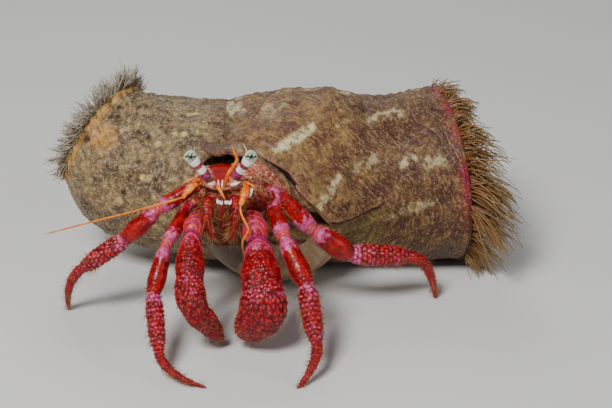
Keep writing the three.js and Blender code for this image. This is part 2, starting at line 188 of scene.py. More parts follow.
# Each piece's half widths, grid and dress. Lists run along the piece from its near end to its far
# end. pitch is mm from knob to knob along it, and round is how many stand round it. An arch is a line
# round the limb, at a share of its length, bent back to the limb's far end at the sides.
LEG_PIECES = {
    "ischium": {
        "girth": [1.7, 1.8, 1.7], "grid": (70, 48), "pitch": 1.1, "round": 11, "pits": 0.3,
        "lilac": [0.6, 0.4], "knob": [0.25],
    },
    "merus": {
        "girth": [1.5, 2.1, 2.3, 1.9], "grid": (104, 60), "pitch": 1.0, "round": 12, "pits": 0.7,
        "lilac": [0.5, 0.45, 0.15, 0.0, 0.3, 0.9, 1.0], "knob": [0.25, 0.1, 0.05, 0.1],
        "pale": [0.3, 0.0], "arches": [(0.87, 0.05), (0.94, 0.05)],
    },
    "carpus": {
        "girth": [1.5, 2.4, 2.8, 2.2], "grid": (104, 64), "pitch": 1.15, "round": 12, "pits": 0.9,
        "lilac": [1.0, 0.95, 0.65, 0.1, 0.0, 0.0, 0.0, 0.0, 0.3], "knob": [0.0, 0.05, 0.1, 0.12, 0.3, 1.0],
        "pale": [0.0, 0.0, 0.0, 0.1, 1.0], "arches": [(0.05, 0.07)],
    },
    "propodus": {
        "girth": [2.0, 2.5, 2.4, 1.8], "grid": (168, 96), "pitch": 1.22, "round": 11, "pits": 0.0,
        "lilac": [1.0, 0.6, 0.25, 0.2, 0.2, 0.2, 0.2, 0.2], "knob": [1.0],
        "pale": [1.0, 0.6, 0.45, 0.4, 0.45, 0.35],
    },
    "dactylus": {
        "girth": [1.6, 1.4, 1.15, 0.85, 0.6], "grid": (168, 72), "pitch": 0.95, "round": 9, "pits": 0.0,
        "lilac": [0.15, 0.05, 0.0], "knob": [0.9, 0.8, 0.6, 0.1], "pale": [0.4, 0.25, 0.1, 0.0],
    },
}
SHOWY_SIDE = np.array([0.0, -0.82, 0.57])  # up and forward, where the limbs' dress is richest


def smooth_steps(values, t):
    """Values evenly spaced over t in 0..1, each going to the next by the share 3f^2 - 2f^3."""
    values = np.asarray(values, float)
    if len(values) == 1:
        return np.full(np.shape(t), values[0])
    x = np.clip(t, 0, 1) * (len(values) - 1)
    before = np.minimum(x.astype(int), len(values) - 2)
    f = x - before
    return values[before] + (values[before + 1] - values[before]) * f * f * (3 - 2 * f)


def ease(x):
    """0 below 0, 1 above 1, and 3x^2 - 2x^3 between."""
    x = np.clip(x, 0, 1)
    return x * x * (3 - 2 * x)


def bell(x, width, power=2):
    """1 at 0, falling away on both sides as exp(-(x / width)^power)."""
    return np.exp(-((x / width) ** power))


def hump(distance, radius, power=1.0):
    """A mound of height 1: (1 - (distance / radius)^2)^power, and 0 outside its radius."""
    return np.clip(1 - (distance / radius) ** 2, 0, 1) ** power


def unit(vectors):
    """The vectors, each at length 1."""
    return vectors / np.maximum(np.linalg.norm(vectors, axis=-1, keepdims=True), 1e-12)


def dense_curve(points, count=400):
    """Points close together on a line, on a quadratic Bezier arc through three controls, or on a
    centripetal Catmull-Rom curve, whose knots are spaced by the square root of their distance."""
    p = np.asarray(points, float)
    u = np.linspace(0, 1, count)[:, None]
    if len(p) == 2:
        return p[0] + (p[1] - p[0]) * u
    if len(p) == 3:
        return (1 - u) ** 2 * p[0] + 2 * u * (1 - u) * p[1] + u * u * p[2]
    p = np.vstack([2 * p[0] - p[1], p, 2 * p[-1] - p[-2]])
    x = u[:, 0] * (len(p) - 3)
    i = np.minimum(x.astype(int), len(p) - 4)
    f = (x - i)[:, None]
    a, b, c, d = p[i], p[i + 1], p[i + 2], p[i + 3]
    ab, bc, cd = (np.sqrt(np.linalg.norm(r - q, axis=1))[:, None] for q, r in ((a, b), (b, c), (c, d)))
    start = ((b - a) / ab - (c - a) / (ab + bc) + (c - b) / bc) * bc
    end = ((c - b) / bc - (d - b) / (bc + cd) + (d - c) / cd) * bc
    cube = 2 * b - 2 * c + start + end
    square = -3 * b + 3 * c - 2 * start - end
    return b + start * f + square * f**2 + cube * f**3


def reach_of(length, heading, pitch):
    """A step of a length by its heading from +X and its pitch from the level, in degrees."""
    h, p = math.radians(heading), math.radians(pitch)
    return length * np.array([math.cos(p) * math.cos(h), math.cos(p) * math.sin(h), math.sin(p)])


def joints_of(build):
    """A limb's joints from its hip out, each one step of its pose from the last."""
    return np.cumsum([build["hip"], *(reach_of(*row) for row in build["pose"])], axis=0)


def limb_form(points, wide, high=None, side=None, lap=0.0, blunt=5.0):
    """A limb piece's shape: a path, its half widths along it, and the direction wide is measured in.
    lap is how far it runs on past the path at each end, and blunt how squarely it ends."""
    line = dense_curve(points)
    steps = np.linalg.norm(np.diff(line, axis=0), axis=1)
    travelled = np.concatenate([[0], np.cumsum(steps)])
    chord = line[-1] - line[0]
    across = np.cross(chord, [0, 0, 1]) if side is None else np.asarray(side, float)
    tangents = unit(np.gradient(line, axis=0))
    shape = {"line": line, "share": travelled / travelled[-1], "length": travelled[-1], "tangents": tangents}
    return {**shape, "wide": wide, "high": high or wide, "across": across, "lap": lap, "blunt": blunt}


def on_limb(form, t, angle, lift=0.0):
    """A limb's surface at shares t of its path and angles round it.

    The point is the path's, plus the lap along it, plus the half widths times cos and sin of the
    angle and times the end cap's share (1 - |2t - 1|^blunt)^(1 / blunt). lift raises it in mm.
    Gives the point, the outward direction, and the path's tangent there."""
    t, angle, lift = np.broadcast_arrays(t, angle, lift)
    at, tangent = (
        np.stack([np.interp(t, form["share"], values[:, k]) for k in range(3)], -1)
        for values in (form["line"], form["tangents"])
    )
    tangent = unit(tangent)
    ax = unit(form["across"] - np.sum(form["across"] * tangent, -1, keepdims=True) * tangent)
    up = np.cross(tangent, ax)
    cap = np.maximum(0, 1 - np.abs(2 * t - 1) ** form["blunt"]) ** (1 / form["blunt"])
    wide = cap * (smooth_steps(form["wide"], t) + lift)
    high = cap * (smooth_steps(form["high"], t) + lift)
    outward = unit(ax * (np.cos(angle) * high)[..., None] + up * (np.sin(angle) * wide)[..., None])
    outward = np.where(cap[..., None] > 0, outward, tangent)
    place = at + tangent * ((2 * t - 1) * form["lap"])[..., None]
    place = place + ax * (np.cos(angle) * wide)[..., None] + up * (np.sin(angle) * high)[..., None]
    return place, outward, tangent


def tube_grid(rows, columns, crowding=1.0):
    """Shares along a tube and angles round it, as grids. Rows crowd toward the ends as a cosine's
    steps do, mixed by crowding with even ones."""
    even = np.linspace(0, 1, rows)
    t = (1 - crowding) * even + crowding * (1 - np.cos(math.pi * even)) / 2
    return np.meshgrid(t, 2 * math.pi * np.arange(columns) / columns, indexing="ij")


def girth_share(form, angle):
    """How far round the limb an angle is, 0..1, by the arc length of its mean ellipse."""
    turn = np.linspace(0, 2 * math.pi, 721)
    wide, high = np.mean(form["wide"]), np.mean(form["high"])
    speed = np.hypot(wide * np.sin(turn), high * np.cos(turn))
    gone = np.concatenate([[0], np.cumsum((speed[1:] + speed[:-1]) / 2)])
    return np.interp(np.mod(angle, 2 * math.pi), turn, gone / gone[-1])


def nearest_seed(u, v, around, seed, jitter=0.4, brick=0.0):
    """Each point's distance to its nearest seed, how far it lies past it along u, how far beside it
    along v, and that seed's own random number.

    There is one seed to a unit cell, off its middle by up to half of jitter. Odd rows are set brick
    cells over. u and v are in cells, and v comes round again after a whole number of cells."""
    table = np.random.default_rng(seed).random((97, 97, 3))
    row, column = np.floor(u), np.floor(v)
    best, past, beside, tone = (np.full(np.shape(u), value) for value in (9.0, 9.0, 9.0, 0.0))
    for i in (-1, 0, 1):
        for j in (-1, 0, 1):
            r, c = row + i, column + j
            own = table[np.mod(r, 97).astype(int), np.mod(np.mod(c, around), 97).astype(int)]
            x = r + 0.5 + jitter * (own[..., 0] - 0.5)
            y = c + 0.5 + brick * np.mod(r, 2) + jitter * (own[..., 1] - 0.5)
            distance = np.hypot(u - x, v - y)
            nearer = distance < best
            for kept, new in zip((best, past, beside, tone), (distance, u - x, v - y, own[..., 2])):
                np.copyto(kept, new, where=nearer)
    return best, past, beside, tone


def swell_noise(points, wavelength, seed, waves=14):
    """Smooth noise in -1..1: the mean of sine waves of about one wavelength in random directions."""
    random = np.random.default_rng(seed)
    directions = unit(random.normal(size=(waves, 3)))
    lengths = wavelength * random.uniform(0.7, 1.5, waves)
    phases = random.uniform(0, 2 * math.pi, waves)
    total = sum(np.sin(points @ (d * 2 * math.pi / w) + f) for d, w, f in zip(directions, lengths, phases))
    return np.clip(total / waves * 2.2, -1, 1)


def dressed(form, look, rise, seed):
    """A limb piece's surface with its dress: points, and the masks that its colours follow.

    Knobs stand in a brick pattern, more strewn where wild is larger. Each is a parabola across, and
    along the limb it rises to a crest past its middle and drops to the next, or is round where wild.
    Pits sink where seeds fall. An arch is a thin line where the share along the limb is its place plus
    its bend times the angle from the showy side squared, as wide where it is steep as where it is
    level, and what lies before the first arch on a hooded piece is violet."""
    t, angle = tube_grid(*look["grid"], 0.45)
    at, outward, _ = on_limb(form, t, angle)
    off_show = np.arccos(np.clip(outward @ unit(SHOWY_SIDE), -1, 1))
    girth = girth_share(form, angle) * look["round"]
    along = t * form["length"] / look["pitch"]
    wild = look.get("wild", 0.25)
    _, past, beside, tone = nearest_seed(along, girth, look["round"], seed, wild, 0.5)
    showing = 0.35 + 0.65 * ease((2.2 - off_show) / 0.9)
    crest = ease((past + 0.55) / 0.6) * (1 - ease((past - 0.16) / 0.34))
    scale = hump(beside, 0.5, 0.8) * crest
    round_knob = hump(np.hypot(beside, past), 0.38 + 0.14 * tone, 0.7)
    knobbed = smooth_steps(look["knob"], t) * showing
    knob = (scale + (round_knob - scale) * wild * 1.2) * knobbed
    spot, _, _, own = nearest_seed(along * look["pitch"] / 1.25, girth, look["round"], seed + 1, 0.9)
    pit = look["pits"] * hump(spot, 0.12 + 0.14 * own)
    rim, blush, hood = np.zeros_like(t), np.zeros_like(t), np.zeros_like(t)
    for number, (place, bend) in enumerate(look.get("arches", [])):
        slope = 2 * bend * off_show * form["length"] / np.mean(form["wide"])
        away = (t - place - bend * off_show**2) * form["length"] / np.hypot(1, slope)
        rim = np.maximum(rim, bell(away, 0.2))
        blush = np.maximum(blush, bell(away, 0.6))
        if number == 0 and look.get("hooded"):
            hood = ease(-away / 0.3)
    waves = swell_noise(at, 2.4, seed + 2)
    ragged = 0.3 * waves + 0.16 * swell_noise(at, 0.9, seed + 3)
    lift = rise * (knob - 0.62) + rise * 0.45 * rim - 0.1 * pit + 0.05 * waves - 0.1 * hood
    lilac = smooth_steps(look["lilac"], t)
    torn = 4.2 * ragged * np.clip(4 * lilac * (1 - lilac) + 0.2, 0, 1)
    masks = {"knob": knob, "tone": tone, "pit": pit, "rim": rim, "blush": np.clip(blush - rim, 0, 1)}
    masks.update(hood=hood, lilac=ease(0.5 + 3.2 * (lilac - 0.5) + torn), knobbed=knobbed)
    masks["pale"] = smooth_steps(look.get("pale", [0.3]), t)
    return on_limb(form, t, angle, lift)[0], masks


def tube_faces(rows, columns):
    """Triangles and quads of a closed tube: a pole, rows - 2 rings of columns points, and a pole."""
    ring = 1 + np.arange((rows - 2) * columns).reshape(rows - 2, columns)
    after = np.roll(ring, -1, axis=1)
    quads = np.stack([ring[:-1], after[:-1], after[1:], ring[1:]], -1).reshape(-1, 4)
    first = np.stack([np.zeros(columns, int), after[0], ring[0]], -1)
    last = np.stack([ring[-1], after[-1], np.full(columns, 1 + ring.size)], -1)
    return np.concatenate([first, last]), quads


def tube_points(grid):
    """A grid's points as a closed tube's: its first and last rows are each one pole."""
    return np.concatenate([grid[:1, 0], grid[1:-1].reshape(-1, *grid.shape[2:]), grid[-1:, 0]])


def new_piece(name, points, triangles, quads, masks, material, slot, nodes=(), uv=None):
    """A mesh from points in layout millimetres, with masks as one number a point.

    It rides on the root and stands for the CAD nodes named. uv is a place for each point."""
    mesh = bpy.data.meshes.new(name)
    mesh.vertices.add(len(points))
    mesh.vertices.foreach_set("co", ((points - REST) * MM).astype(np.float32).ravel())
    corners = np.concatenate([triangles.ravel(), quads.ravel()]).astype(np.int32)
    mesh.loops.add(len(corners))
    mesh.loops.foreach_set("vertex_index", corners)
    starts = np.concatenate([3 * np.arange(len(triangles)), 3 * len(triangles) + 4 * np.arange(len(quads))])
    mesh.polygons.add(len(starts))
    mesh.polygons.foreach_set("loop_start", starts.astype(np.int32))
    mesh.update(calc_edges=True)
    mesh.shade_smooth()
    for label, values in masks.items():
        attribute = mesh.attributes.new(label, "FLOAT", "POINT")
        attribute.data.foreach_set("value", np.asarray(values, np.float32).ravel())
    if uv is not None:
        layer = mesh.uv_layers.new(name="OFBake")
        layer.data.foreach_set("uv", uv[corners].astype(np.float32).ravel())
    mesh.materials.append(material)
    piece = bpy.data.objects.new(name, mesh)
    bpy.context.scene.collection.objects.link(piece)
    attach(piece, "root")
    if nodes:
        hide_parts(*nodes)


def tube_piece(name, grid, masks, material, slot, nodes=()):
    """A closed tube on a grid of points as a piece."""
    triangles, quads = tube_faces(*grid.shape[:2])
    flat = {label: tube_points(values) for label, values in masks.items()}
    new_piece(name, tube_points(grid), triangles, quads, flat, material, slot, nodes)


def mixed(tree, share, first, second):
    """Two colours mixed by a share."""
    values = {0: share, 6: first, 7: second}
    return node(tree, "ShaderNodeMix", values, data_type="RGBA", clamp_factor=True).outputs[2]


def reckon(tree, operation, first, second=0.0, third=0.0, clamp=False):
    """A sum of shader values."""
    values = {0: first, 1: second, 2: third}
    return node(tree, "ShaderNodeMath", values, operation=operation, use_clamp=clamp).outputs[0]


def steep(tree, value, middle, gain):
    """How far a value lies past middle, times gain, kept in 0..1."""
    return reckon(tree, "MULTIPLY_ADD", reckon(tree, "SUBTRACT", value, middle), gain, 0.0, True)


def noise(tree, place, scale, detail, roughness=0.5):
    """Noise at places, in 0..1."""
    values = {"Vector": place, "Scale": scale, "Detail": detail, "Roughness": roughness}
    return node(tree, "ShaderNodeTexNoise", values).outputs["Fac"]


def build_mottle():
    """Mottle, used by every finish: broad patches of a second colour and fine specks of a third,
    with the height of the grain."""
    group = bpy.data.node_groups.new("mottle", "ShaderNodeTree")
    sockets = [(label, "INPUT", "Color") for label in ("Base", "Patch", "Speck")]
    numbers = ("Patch Scale", "Patch Share", "Speck Scale", "Speck Share")
    sockets += [(label, "INPUT", "Float") for label in numbers]
    for label, way, kind in [*sockets, ("Color", "OUTPUT", "Color"), ("Height", "OUTPUT", "Float")]:
        group.interface.new_socket(name=label, in_out=way, socket_type=f"NodeSocket{kind}")
    given = group.nodes.new("NodeGroupInput").outputs
    place = node(group, "ShaderNodeTexCoord").outputs["Object"]
    broad = noise(group, place, given["Patch Scale"], 4.0)
    fine = noise(group, place, given["Speck Scale"], 2.0)
    patch = reckon(group, "MULTIPLY", steep(group, broad, 0.44, 7.0), given["Patch Share"])
    speck = reckon(group, "MULTIPLY", steep(group, fine, 0.56, 10.0), given["Speck Share"])
    colour = mixed(group, speck, mixed(group, patch, given["Base"], given["Patch"]), given["Speck"])
    node(group, "NodeGroupOutput", {"Color": colour, "Height": fine})
    return group


MOTTLE = build_mottle()


def mottled(tree, base, patch, speck, patch_scale, patch_share, speck_scale, speck_share):
    """The mottle group placed in a material with its own values: its Color and Height."""
    values = {"Base": base, "Patch": patch, "Speck": speck, "Patch Scale": patch_scale}
    values.update({"Patch Share": patch_share, "Speck Scale": speck_scale, "Speck Share": speck_share})
    return node(tree, "ShaderNodeGroup", values, node_tree=MOTTLE).outputs


def mask(tree, name):
    """A mask of the mesh as a shader value."""
    return node(tree, "ShaderNodeAttribute", attribute_name=name).outputs["Fac"]


def stained(tree, colour, *layers):
    """A colour under layers, each the name of a mask, the share it is laid on by, and its colour."""
    for label, share, tint in layers:
        colour = mixed(tree, reckon(tree, "MULTIPLY", mask(tree, label), share), colour, tint)
    return colour


def finish(tree, colour, height, depth, roughness, coat=0.0, coat_roughness=0.1, **sockets):
    """The surface with its bump, depth metres deep. sockets are more of the shader's inputs."""
    bump = node(tree, "ShaderNodeBump", {"Height": height, "Distance": depth, "Strength": 1.0})
    values = {"Base Color": colour, "Roughness": roughness, "Normal": bump.outputs["Normal"]}
    values.update({"Coat Weight": coat, "Coat Roughness": coat_roughness})
    surfaced(tree, {**values, **{label.replace("_", " "): value for label, value in sockets.items()}})


def cuticle(name, red, deep, lilac, blotch, tip, white, violet, gap, blush=(120, 0, 6), gloss=0.2):
    """Hard red cuticle: red with deeper patches, lilac bands, knobs with dark gaps between them whose
    crests are pink and pale, partly their own colour and partly a painted highlight, dark pits, and
    orange arches at the joints on a red or purple blush."""
    material, tree = new_material(name)
    knob, tone, pale = mask(tree, "knob"), mask(tree, "tone"), mask(tree, "pale")
    skin = mottled(tree, red, deep, tip, 420.0, 0.8, 2600.0, 0.12)
    band = mottled(tree, lilac, white, blotch, 600.0, 0.35, 1500.0, 0.6)
    colour = mixed(tree, mask(tree, "lilac"), skin["Color"], band["Color"])
    sunk = reckon(tree, "SUBTRACT", mask(tree, "knobbed"), reckon(tree, "MULTIPLY", knob, 2.8), 0.0, True)
    colour = mixed(tree, reckon(tree, "MULTIPLY", sunk, 0.7), colour, gap)
    # The top of each knob gets the crest colour: partly the knobs' own pale tips, partly a painted highlight.
    high = steep(tree, knob, 0.6, 2.8)
    share = reckon(tree, "MULTIPLY_ADD", tone, 0.5, reckon(tree, "MULTIPLY_ADD", pale, 0.6, -0.2))
    crest = mixed(tree, tone, tip, lilac)
    colour = mixed(tree, reckon(tree, "MULTIPLY", high, share, 0.0, True), colour, crest)
    # White at the very top of pale knobs: partly their own colour, partly a painted highlight.
    pale_tip_and_highlight = reckon(tree, "MULTIPLY", reckon(tree, "POWER", high, 2.0), reckon(tree, "POWER", pale, 2.0))
    colour = mixed(tree, reckon(tree, "MULTIPLY", pale_tip_and_highlight, tone), colour, white)
    joints = [("blush", 0.8, blush), ("rim", 0.95, (228, 66, 0))]
    colour = stained(tree, colour, ("pit", 0.85, gap), ("hood", 0.7, violet), *joints)
    rough = reckon(tree, "MULTIPLY_ADD", skin["Height"], 0.3, 0.2)
    finish(tree, colour, skin["Height"], 0.00012, rough, gloss, 0.12, Specular_IOR_Level=0.25)
    return material


leg_cuticle = cuticle(
    "leg_cuticle", red=(166, 0, 4), deep=(104, 0, 4), lilac=(200, 64, 130),
    blotch=(146, 0, 14), tip=(222, 38, 34), white=(238, 158, 186),
    violet=(120, 14, 84), gap=(92, 0, 18),
)
hip_cuticle = cuticle(
    "hip_cuticle", red=(168, 36, 28), deep=(120, 4, 6), lilac=(184, 84, 68),
    blotch=(130, 6, 8), tip=(214, 130, 104), white=(226, 170, 140),
    violet=(120, 14, 84), gap=(60, 8, 8), gloss=0.05,
)

limbs = {}  # every limb piece's form by its CAD node's name, for the bristles


def limb_piece(limb, part, form, look, rise, seed, worn):
    """A limb's dressed piece, kept out of the floor, in place of its CAD node."""
    limbs[f"{limb}_{part}"] = form
    points, masks = dressed(form, look, rise, seed)
    points[..., 2] = np.maximum(points[..., 2], 0.0)
    worn = hip_cuticle if part == "ischium" else worn
    slot = "pink_limb" if part in ("ischium", "merus") else "red_limb"
    tube_piece(f"{limb}_{part}_cuticle", points, masks, worn, slot, [f"{limb}_{part}"])


for number, (leg, build) in enumerate(WALKING_LEGS.items()):
    joints = joints_of(build)
    joints[-1][2] = TIP_HEIGHT
    _, heading, pitch = build["pose"][2]
    bow = joints[3] + reach_of(build["pose"][3][0] * DACTYL_BOW, heading, pitch)
    paths = [[build["root"], joints[0]], joints[:2], joints[1:3], joints[2:4], [joints[3], bow, joints[4]]]
    for order, ((part, look), path) in enumerate(zip(LEG_PIECES.items(), paths)):
        girths = [r * build["girth"] for r in look["girth"]]
        form = limb_form(path, girths, lap=0.0 if part == "ischium" else LEG_LAP)
        limb_piece(leg, part, form, look, KNOB_RISE, 40 * number + order, leg_cuticle)

# ---------------------------------------------------------------- the claws
# Two stout claws, the left one larger, held down in front. The merus is lilac and purple with
# orange chevrons, and the carpus, palm and fingers are closely set with pale-tipped knobs, whose
# crests also carry a painted highlight.
CLAW_HIP = [2.4, 3.0, 2.7]  # mm, half widths along the hip
CLAW_JOINT = {"lap": 1.2, "blunt": 8.0}  # a claw's carpus and palm meet in a broad, blunt joint
FINGER_START = 0.42  # where the moving finger leaves the palm, as a share of its length
FINGER_BEND = 0.78  # where it bends in again
FINGER_TIP_OUT = 0.9  # mm that its tip stands beside the palm's tip
LEVEL = np.array([1.0, 0.0, 0.0])  # the direction that the claws' widths are measured in
CLAWS = {  # root, hip and pose as a leg's, half widths, and mm from knob to knob, along and round
    "right_claw": {
        "root": [-27.5, -30, 32], "hip": [-29.5, -36, 34],
        "pose": [[8.5, -104, -12], [13.4, -91, -42], [21.1, 14, -68]],
        "merus": [2.4, 3.0, 3.2, 2.6],
        "carpus": [2.2, 3.3, 4.0, 3.9], "carpus_high": [2.0, 2.9, 3.4, 3.2],
        "palm": [3.9, 4.3, 3.6, 2.4, 1.1], "palm_high": [3.2, 3.5, 3.0, 2.1, 1.0],
        "palm_bow": [-4.6, -5.5, 1.5], "finger": [1.3, 1.6, 1.4, 0.8], "finger_out": 2.6,
        "knobs": (1.0, 0.82), "rise": 0.34,
    },
    "left_claw": {
        "root": [-18.5, -30, 32], "hip": [-15.5, -36, 34],
        "pose": [[9.0, -75, -24], [15.7, -83, -39], [18.6, 133, -66]],
        "merus": [2.6, 3.6, 4.0, 3.2],
        "carpus": [2.6, 4.4, 5.6, 5.8], "carpus_high": [2.4, 3.6, 4.2, 4.0],
        "palm": [5.8, 6.7, 6.3, 4.6, 1.7], "palm_high": [3.9, 4.5, 4.1, 3.0, 1.2],
        "palm_bow": [4.2, -6.0, 1.0], "finger": [1.8, 2.4, 2.0, 1.1], "finger_out": -4.0,
        "knobs": (1.12, 0.92), "rise": 0.4,
    },
}
CLAW_DRESS = {
    "ischium": {"grid": (70, 64), "lilac": [0.6, 0.4], "knob": [0.3], "pits": 0.3},
    "merus": {
        "grid": (110, 72), "lilac": [0.3, 0.6, 0.7, 0.6], "knob": [0.1], "pale": [0.4],
        "arches": [(0.1, 0.3), (0.3, 0.3), (0.5, 0.3), (0.7, 0.3)], "pits": 0.2,
    },
    "carpus": {
        "grid": (150, 128), "lilac": [0.9, 0.8, 0.45, 0.1, 0.0, 0.0, 0.0, 0.1],
        "knob": [0.05, 0.25, 0.5, 0.6, 0.6, 0.85, 1.0], "pale": [0.2, 0.2, 0.1, 0.1, 0.3, 0.9],
        "arches": [(0.13, 0.24)], "hooded": True, "wild": 0.8, "pits": 0.8,
    },
    "palm": {
        "grid": (176, 144), "lilac": [0.25, 0.05, 0.0], "knob": [1.0],
        "pale": [0.8, 0.35, 0.25, 0.25, 0.15], "wild": 0.7, "pits": 0.0,
    },
    "finger": {
        "grid": (150, 88), "lilac": [0.1, 0.0], "knob": [1.0], "pale": [0.4, 0.3], "wild": 0.7, "pits": 0.0,
    },
}
claw_cuticle = cuticle(
    "claw_cuticle", red=(156, 0, 8), deep=(96, 0, 6), lilac=(182, 44, 110),
    blotch=(130, 0, 14), tip=(226, 40, 28), white=(240, 134, 150),
    violet=(126, 8, 80), gap=(72, 0, 14), blush=(116, 0, 62), gloss=0.1,
)


def claw_forms(claw):
    """The claw's pieces as forms. The palm bows out between wrist and tip, and the moving finger
    lies beside it on the inner edge."""
    hip, elbow, wrist, tip = joints_of(claw)
    bow = (wrist + tip) / 2 + claw["palm_bow"]

    def beside_palm(share, bowed):
        on_palm = wrist + (tip - wrist) * share
        return on_palm + (bow - on_palm) * bowed + LEVEL * claw["finger_out"]

    finger_tip = tip + LEVEL * FINGER_TIP_OUT * np.sign(claw["finger_out"])
    finger_path = [beside_palm(FINGER_START, 0.48), beside_palm(FINGER_BEND, 0.34), finger_tip]
    return {
        "ischium": limb_form([claw["root"], hip], CLAW_HIP),
        "merus": limb_form([hip, elbow], claw["merus"], side=LEVEL, lap=LEG_LAP),
        "carpus": limb_form([elbow, wrist], claw["carpus"], claw["carpus_high"], LEVEL, **CLAW_JOINT),
        "palm": limb_form([wrist, bow, tip], claw["palm"], claw["palm_high"], LEVEL, **CLAW_JOINT),
        "finger": limb_form(finger_path, claw["finger"], side=LEVEL),
    }


for number, (claw, build) in enumerate(CLAWS.items()):
    for order, (part, form) in enumerate(claw_forms(build).items()):
        girth = math.pi * (np.mean(form["wide"]) + np.mean(form["high"]))
        pitch, width = build["knobs"]
        look = {**CLAW_DRESS[part], "pitch": pitch, "round": round(girth / width)}
        limb_piece(claw, part, form, look, build["rise"], 300 + 40 * number + order, claw_cuticle)

# ---------------------------------------------------------------- the body and its shield
# The front of the body is soft-walled and hairy, mottled pink and cream. A calcified red shield
# lies over it, pitted, with a pale front edge and the crosswise groove that all crabs have.
BODY_PATH = [(-20.5, -6, 32.4), (-21, -18, 34.4), (-21.6, -28, 35.8), (CRAB_X, -40.4, 38.8)]
BODY_WIDE = [8.5, 12, 12.6, 9.6, 6]  # mm, half widths from rear to front
BODY_HIGH = [7.7, 9.0, 8.8, 8.3, 6.2]
SHIELD_PATH = [(CRAB_X, -22.5, 43), (CRAB_X, -40.6, 43.9)]
SHIELD_WIDE = [7.6, 8.2, 7.6, 4.6]
SHIELD_HIGH = 1.9
SHOULDER = (2.4, 4.6)  # mm that the left shoulder swells out, above and at its side
BREAST = 5.8  # mm that the breast plates hang down between the mouth legs
BED = 1.2  # mm that the body is sunk under the shield
GROOVE_AT = 0.52  # share of the shield's length, from its rear, where the groove crosses
body_form = limb_form(BODY_PATH, BODY_WIDE, BODY_HIGH, LEVEL, blunt=3.0)
shield_form = limb_form(SHIELD_PATH, SHIELD_WIDE, [SHIELD_HIGH], LEVEL, blunt=2.6)


def shoulder_swell(at, outward):
    """How far the body's left shoulder swells out, in mm, to fill the shell's opening there: more
    at its side than above."""
    _, y, z = np.moveaxis(at, -1, 0)
    swell = SHOULDER[0] + (SHOULDER[1] - SHOULDER[0]) * ease((0.45 - outward[..., 2]) / 0.4)
    facing = ease((outward[..., 0] + 0.1) / 0.5) * ease((outward[..., 2] + 0.5) / 0.4)
    return swell * facing * ease((z - 30) / 4) * ease((-8 - y) / 8) * ease((y + 41) / 9)


def body_surface(rows=210, columns=160):
    """The body's tube with soft folds, granules where seeds fall, and a net of dark lines. It is
    sunk below the shield."""
    t, angle = tube_grid(rows, columns, 0)
    at, outward, _ = on_limb(body_form, t, angle)
    x, y, z = np.moveaxis(at, -1, 0)
    side, up = np.abs(x - CRAB_X), outward[..., 2]
    granule, _, _, tone = nearest_seed(t * 40, girth_share(body_form, angle) * 70, 70, 700, 0.8)
    grain = hump(granule, 0.5) * tone
    folds = swell_noise(at, 5.0, 701)
    bed = ease((6 - side) / 1.5) * ease((up - 0.5) / 0.3)
    breast = ease((-0.1 - up) / 0.6) * ease((6.5 - side) / 3.5) * ease((-24 - y) / 6)
    lift = -0.45 + 0.3 * folds + 0.35 * grain + shoulder_swell(at, outward) - BED * bed + BREAST * breast
    face = ease((-37.0 - y) / 2.0) * ease((45.5 - z - 1.5 * folds) / 2.5)
    masks = {"grain": grain, "face": np.maximum(face, ease((41.5 - z) / 4) * ease((-31 - y) / 3))}
    masks["net"] = 1 - np.clip(np.abs(swell_noise(at, 2.6, 702)) * 4, 0, 1)
    masks["red"] = ease(0.5 + 1.4 * swell_noise(at, 6.0, 703))
    return on_limb(body_form, t, angle, lift)[0], masks


def shield_surface(rows=130, columns=110):
    """The shield's flattened tube, sunk by a groove across it and two that run back from it."""
    t, angle = tube_grid(rows, columns, 0.4)
    at, _, _ = on_limb(shield_form, t, angle)
    side, girth = np.abs(at[..., 0] - CRAB_X), girth_share(shield_form, angle)
    back = bell(side - 3.4, 0.5) * ease((GROOVE_AT - t) / 0.1)
    groove = np.maximum(bell(t - GROOVE_AT + 0.012 * side, 0.025), 0.7 * back)
    pit = hump(nearest_seed(t * 22, girth * 40, 40, 710, 0.9)[0], 0.22)
    grains, _, _, tone = nearest_seed(t * 26, girth * 52, 52, 712, 0.8)
    grain = hump(grains, 0.5) * tone
    flank = ease((side - 4.6 + 3.4 * t + 0.7 * swell_noise(at, 2.2, 713)) / 0.8)
    lift = -0.3 - 0.2 * groove - 0.12 * pit + 0.12 * swell_noise(at, 3.0, 711) + 0.3 * grain * flank
    masks = {"groove": groove, "pit": pit, "edge": ease((t - 0.9) / 0.06), "flank": flank, "grain": grain}
    return on_limb(shield_form, t, angle, lift)[0], masks


def wall_colour(tree):
    """Soft body wall: cream and pink with red patches, from noise at two scales."""
    return mottled(tree, (198, 92, 70), (126, 4, 10), (246, 216, 160), 900.0, 0.95, 1400.0, 1.0)


def body_finish():
    """Soft body wall with a dark net, pale granules, and dark red-brown round the mouth."""
    material, tree = new_material("body_wall")
    wall = wall_colour(tree)
    layers = [("red", 0.3, (150, 4, 10)), ("net", 0.5, (70, 10, 10)), ("face", 1.0, (98, 0, 2))]
    grain = reckon(tree, "MULTIPLY_ADD", mask(tree, "face"), -0.72, 0.85)
    colour = stained(tree, wall["Color"], *layers, ("grain", grain, (244, 196, 160)))
    finish(tree, colour, wall["Height"], 0.0002, 0.6, Specular_IOR_Level=0.12)
    return material


